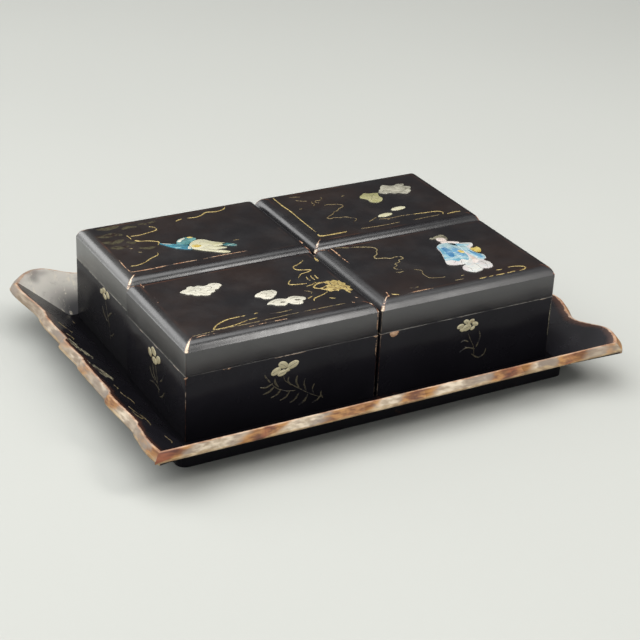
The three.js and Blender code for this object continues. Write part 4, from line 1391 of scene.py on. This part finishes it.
ornament("back_left_side_flower", (
    (pearl_old, flower(
        BACK_LEFT_PLANE, (32.6, 50.6, 2.7, 1.9, 25), (38.6, 51.2, 2.8, 1.7, -15), (37.6, 47.6, 2.9, 1.7, 10),
        (42.8, 48.8, 2.2, 1.6, -30),
    )),
    (dim_gold, leaves(
        BACK_LEFT_PLANE,
        (0.7, (37, 45), (34, 38), (31, 30), (29, 22)), (1.5, (27, 41), (30, 38.6), (33.6, 35)),
        (1.5, (42, 39), (39, 35), (34, 32)), (1.4, (24, 28), (27, 25.4), (30.6, 24)),
    )),
), "back_left_box", "pearl")


# The inside of the tray's left side: clouds of shell powder and curls of gold, both brushed on thinly and
# rubbed as the boxes were lifted in and out.
TRAY_LEFT_PLANE = surface(
    (tray_low.x / MM, 0, tray_high.z / MM),
    (0, 1, 0),
    (-math.cos(CANT), 0, math.sin(CANT)),
    (math.sin(CANT), 0, math.cos(CANT)),
)
rubbed_shell = gold_paint("rubbed_shell", (0.33, 0.30, 0.20), (0.15, 0.135, 0.09), LACQUER_BROWN, 0.40, 0.0)


def tray_stroke(width, *points):
    return stroke(TRAY_LEFT_PLANE, width, *points)


ornament("tray_clouds", (
    (rubbed_shell, [
        tray_stroke(1.7, (30, 28.4), (24, 27.4), (18, 24.8), (13, 21.4)),
        tray_stroke(1.5, (27, 25.6), (21, 23.6), (15, 20.4), (10, 18.6)),
        tray_stroke(1.2, (22, 21.8), (17, 19.4), (13, 17)),
        tray_stroke(1.0, (33, 26.4), (29, 25.4), (25.6, 23)),
        tray_stroke(1.6, (2, 26.4), (-4, 25), (-10, 22), (-15, 18)),
        tray_stroke(1.5, (-1.6, 23.4), (-7, 21), (-12, 17.4), (-17, 16)),
        tray_stroke(1.2, (-5, 20), (-9.6, 17.2), (-14, 14.6)),
        tray_stroke(1.0, (-7.6, 25.6), (-12, 23.6), (-16.4, 20.4)),
    ]),
    (faint_gold, [
        tray_stroke(1.0, (-56, 24), (-61, 22), (-65, 18), (-70, 16.4), (-75, 17.4)),
        tray_stroke(1.0, (-63, 24.4), (-67, 23.4), (-69, 20.6), (-66.6, 18.8)),
        tray_stroke(1.0, (-35, 19.6), (-39, 18), (-42, 15), (-46, 14.4)),
        tray_stroke(0.9, (-26, 20), (-29, 18.4), (-31, 19.6)),
        tray_stroke(1.0, (60, 22), (55, 19.6), (50, 15.6)),
        tray_stroke(0.9, (42, 24), (38, 21), (35, 21.6)),
        tray_stroke(1.2, (77, 3.4), (73.6, 2.8)),
        tray_stroke(0.9, (-84, 12), (-89, 9.6), (-92, 11)),
    ]),
), "tray", "gold_lacquer")


# Worn places of the two front boxes: thin lines down the front left box's right-hand corner, where the
# lacquer is rubbed through, and small chips at the joint, broken out as the lids were set down. The pale
# line down the front right box's right-hand corner is a painted highlight on that edge.
CORNER_LINE = 0.45
ornament("front_left_lid_corner", (
    (bare_edge, [
        stroke(FRONT_PLANE, 0.6, (-3.1, 68.2), (-2.9, 65), (-3.0, 61), (-2.9, 57)),
    ]),
), "front_left_lid", "rim_lacquer")
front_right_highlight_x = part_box("front_right_box_wall_front")[1].x / MM - 0.8
ornament("front_right_chip_and_highlight", (
    (rubbed_shell, [
        # Painted highlight: a pale line down the right-hand corner of the base, where that edge catches the
        # light.
        stroke(FRONT_PLANE, CORNER_LINE, *((front_right_highlight_x, z) for z in (51.5, 40, 27)), base=-0.1),
    ]),
    (bare_edge, [
        plaque(FRONT_PLANE, ((6.2, 53.2), (9, 53.5), (12.2, 53.3), (11.2, 51), (8.8, 50), (6.8, 51)), 0.12),
    ]),
), "front_right_box", "rim_lacquer")
ornament("front_left_chip", (
    (bare_edge, [
        plaque(FRONT_PLANE, ((-103, 53.3), (-99.6, 53.5), (-96.2, 53.3), (-99.6, 52.8)), 0.1),
        plaque(FRONT_PLANE, ((-5, 53.4), (-3.4, 53.5), (-2.2, 53.2), (-3.6, 52.3)), 0.1),
        plaque(FRONT_PLANE, ((-126.9, 53.4), (-125.9, 53.5), (-124.2, 53.3), (-126, 52.2)), 0.1),
        stroke(FRONT_PLANE, CORNER_LINE, (-2.9, 51), (-3.0, 46), (-2.9, 40)),
    ]),
), "front_left_box", "rim_lacquer")
